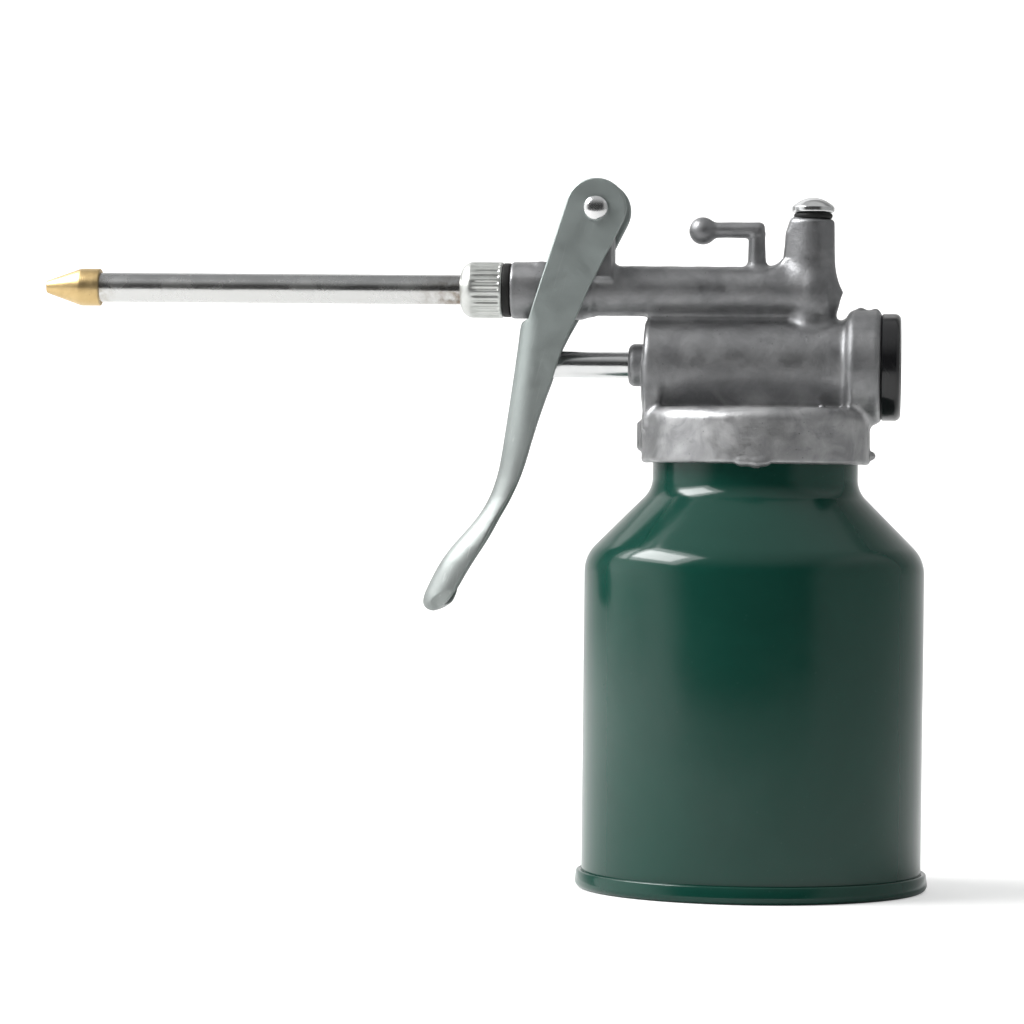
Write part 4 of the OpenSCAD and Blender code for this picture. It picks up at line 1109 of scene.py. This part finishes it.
# %% [markdown]
# A soft light is a flat panel. A large panel gives wide, soft-edged reflections, and its power sets how
# bright they are. The room is painted by direction: each wall fades in smoothly towards its side, so
# round metal shows soft bands. The camera itself sees plain white instead of the room.

# %% soft lights and the room
def soft_light(name, at, aim, size, power, tint=(1, 1, 1)):
    lamp = bpy.data.lights.new(name, "AREA")
    lamp.shape = "RECTANGLE"
    lamp.size, lamp.size_y = size
    lamp.energy = power
    lamp.color = tint
    made = bpy.data.objects.new(name, lamp)
    made.location = at
    made.rotation_euler = (Vector(aim) - Vector(at)).to_track_quat("-Z", "Y").to_euler()
    bpy.context.scene.collection.objects.link(made)
    return made


soft_light("soft box", (-0.92, -0.12, 0.93), (0, 0, 0.08), (0.80, 0.40), 12)
soft_light("soft box edge", (-0.95, -0.12, 0.96), (0, 0, 0.08), (1.30, 0.70), 14)
soft_light("paper wash", (-0.5, 1.3, 1.2), (0, 0.6, 0.0), (2.6, 0.9), 6)


# axis, where the wall starts to show, where it is at its brightest, and how bright it gets
left_wall = ("X", -0.64, -0.99, 1.25)
right_wall = ("X", 0.58, 0.80, 0.36)
pale_ceiling = ("Z", 0.30, 0.95, 0.55)
dim = 0.05


def room():
    """A dim room: bright wall on the left, a duller one on the right, pale ceiling, dark in front."""
    world = bpy.data.worlds.new("room")
    bpy.context.scene.world = world
    world.use_nodes = True
    tree = world.node_tree
    tree.nodes.clear()
    at = put(tree, "ShaderNodeTexCoord")
    split = put(tree, "ShaderNodeSeparateXYZ")
    wire(tree, at.outputs["Generated"], split.inputs[0])
    total = None
    for axis, low, high, light in (left_wall, right_wall, pale_ceiling):
        wall = ramp(tree, low, high, 0.0, light)
        wall.interpolation_type = "SMOOTHSTEP"
        wire(tree, split.outputs[axis], wall.inputs["Value"])
        add = put(tree, "ShaderNodeMath", operation="ADD")
        add.inputs[1].default_value = dim
        if total is not None:
            wire(tree, total, add.inputs[1])
        wire(tree, wall.outputs["Result"], add.inputs[0])
        total = add.outputs[0]
    seen = put(tree, "ShaderNodeLightPath")
    mix = put(tree, "ShaderNodeMix", data_type="FLOAT")
    mix.inputs[3].default_value = 1.0
    wire(tree, seen.outputs["Is Camera Ray"], mix.inputs[0])
    wire(tree, total, mix.inputs[2])
    back = put(tree, "ShaderNodeBackground", Color=(0.99, 1.0, 1.0, 1.0))
    wire(tree, mix.outputs[0], back.inputs["Strength"])
    wire(tree, back.outputs[0], put(tree, "ShaderNodeOutputWorld").inputs["Surface"])


room()

# %% [markdown]
# The camera stands almost a metre away at the height of the can's shoulder, a little towards the
# pump's rear end, with a long lens. It looks past the can to the left, so that the long spout fits.

# %% camera
yaw, nod, roll = math.radians(5.8), math.radians(0.69), math.radians(0.65)
ahead = Vector((-math.sin(yaw) * math.cos(nod), math.cos(yaw) * math.cos(nod), -math.sin(nod)))
right = Vector((math.cos(yaw), math.sin(yaw), 0))
up = right.cross(ahead)
right_tilted = right * math.cos(roll) + up * math.sin(roll)
up_tilted = up * math.cos(roll) - right * math.sin(roll)
eye = bpy.data.cameras.new("eye")
eye.sensor_width = 36
eye.lens = 151.17
stand = Vector((0.04166, -0.92850, 0.09183))
camera = bpy.data.objects.new("camera", eye)
bpy.context.scene.collection.objects.link(camera)
turned = Matrix((right_tilted, up_tilted, -ahead)).transposed().to_4x4()
camera.matrix_world = Matrix.Translation(stand) @ turned
bpy.context.scene.camera = camera
bpy.context.scene.view_settings.view_transform = "Standard"
print("camera", [round(v, 4) for v in camera.matrix_world.translation])
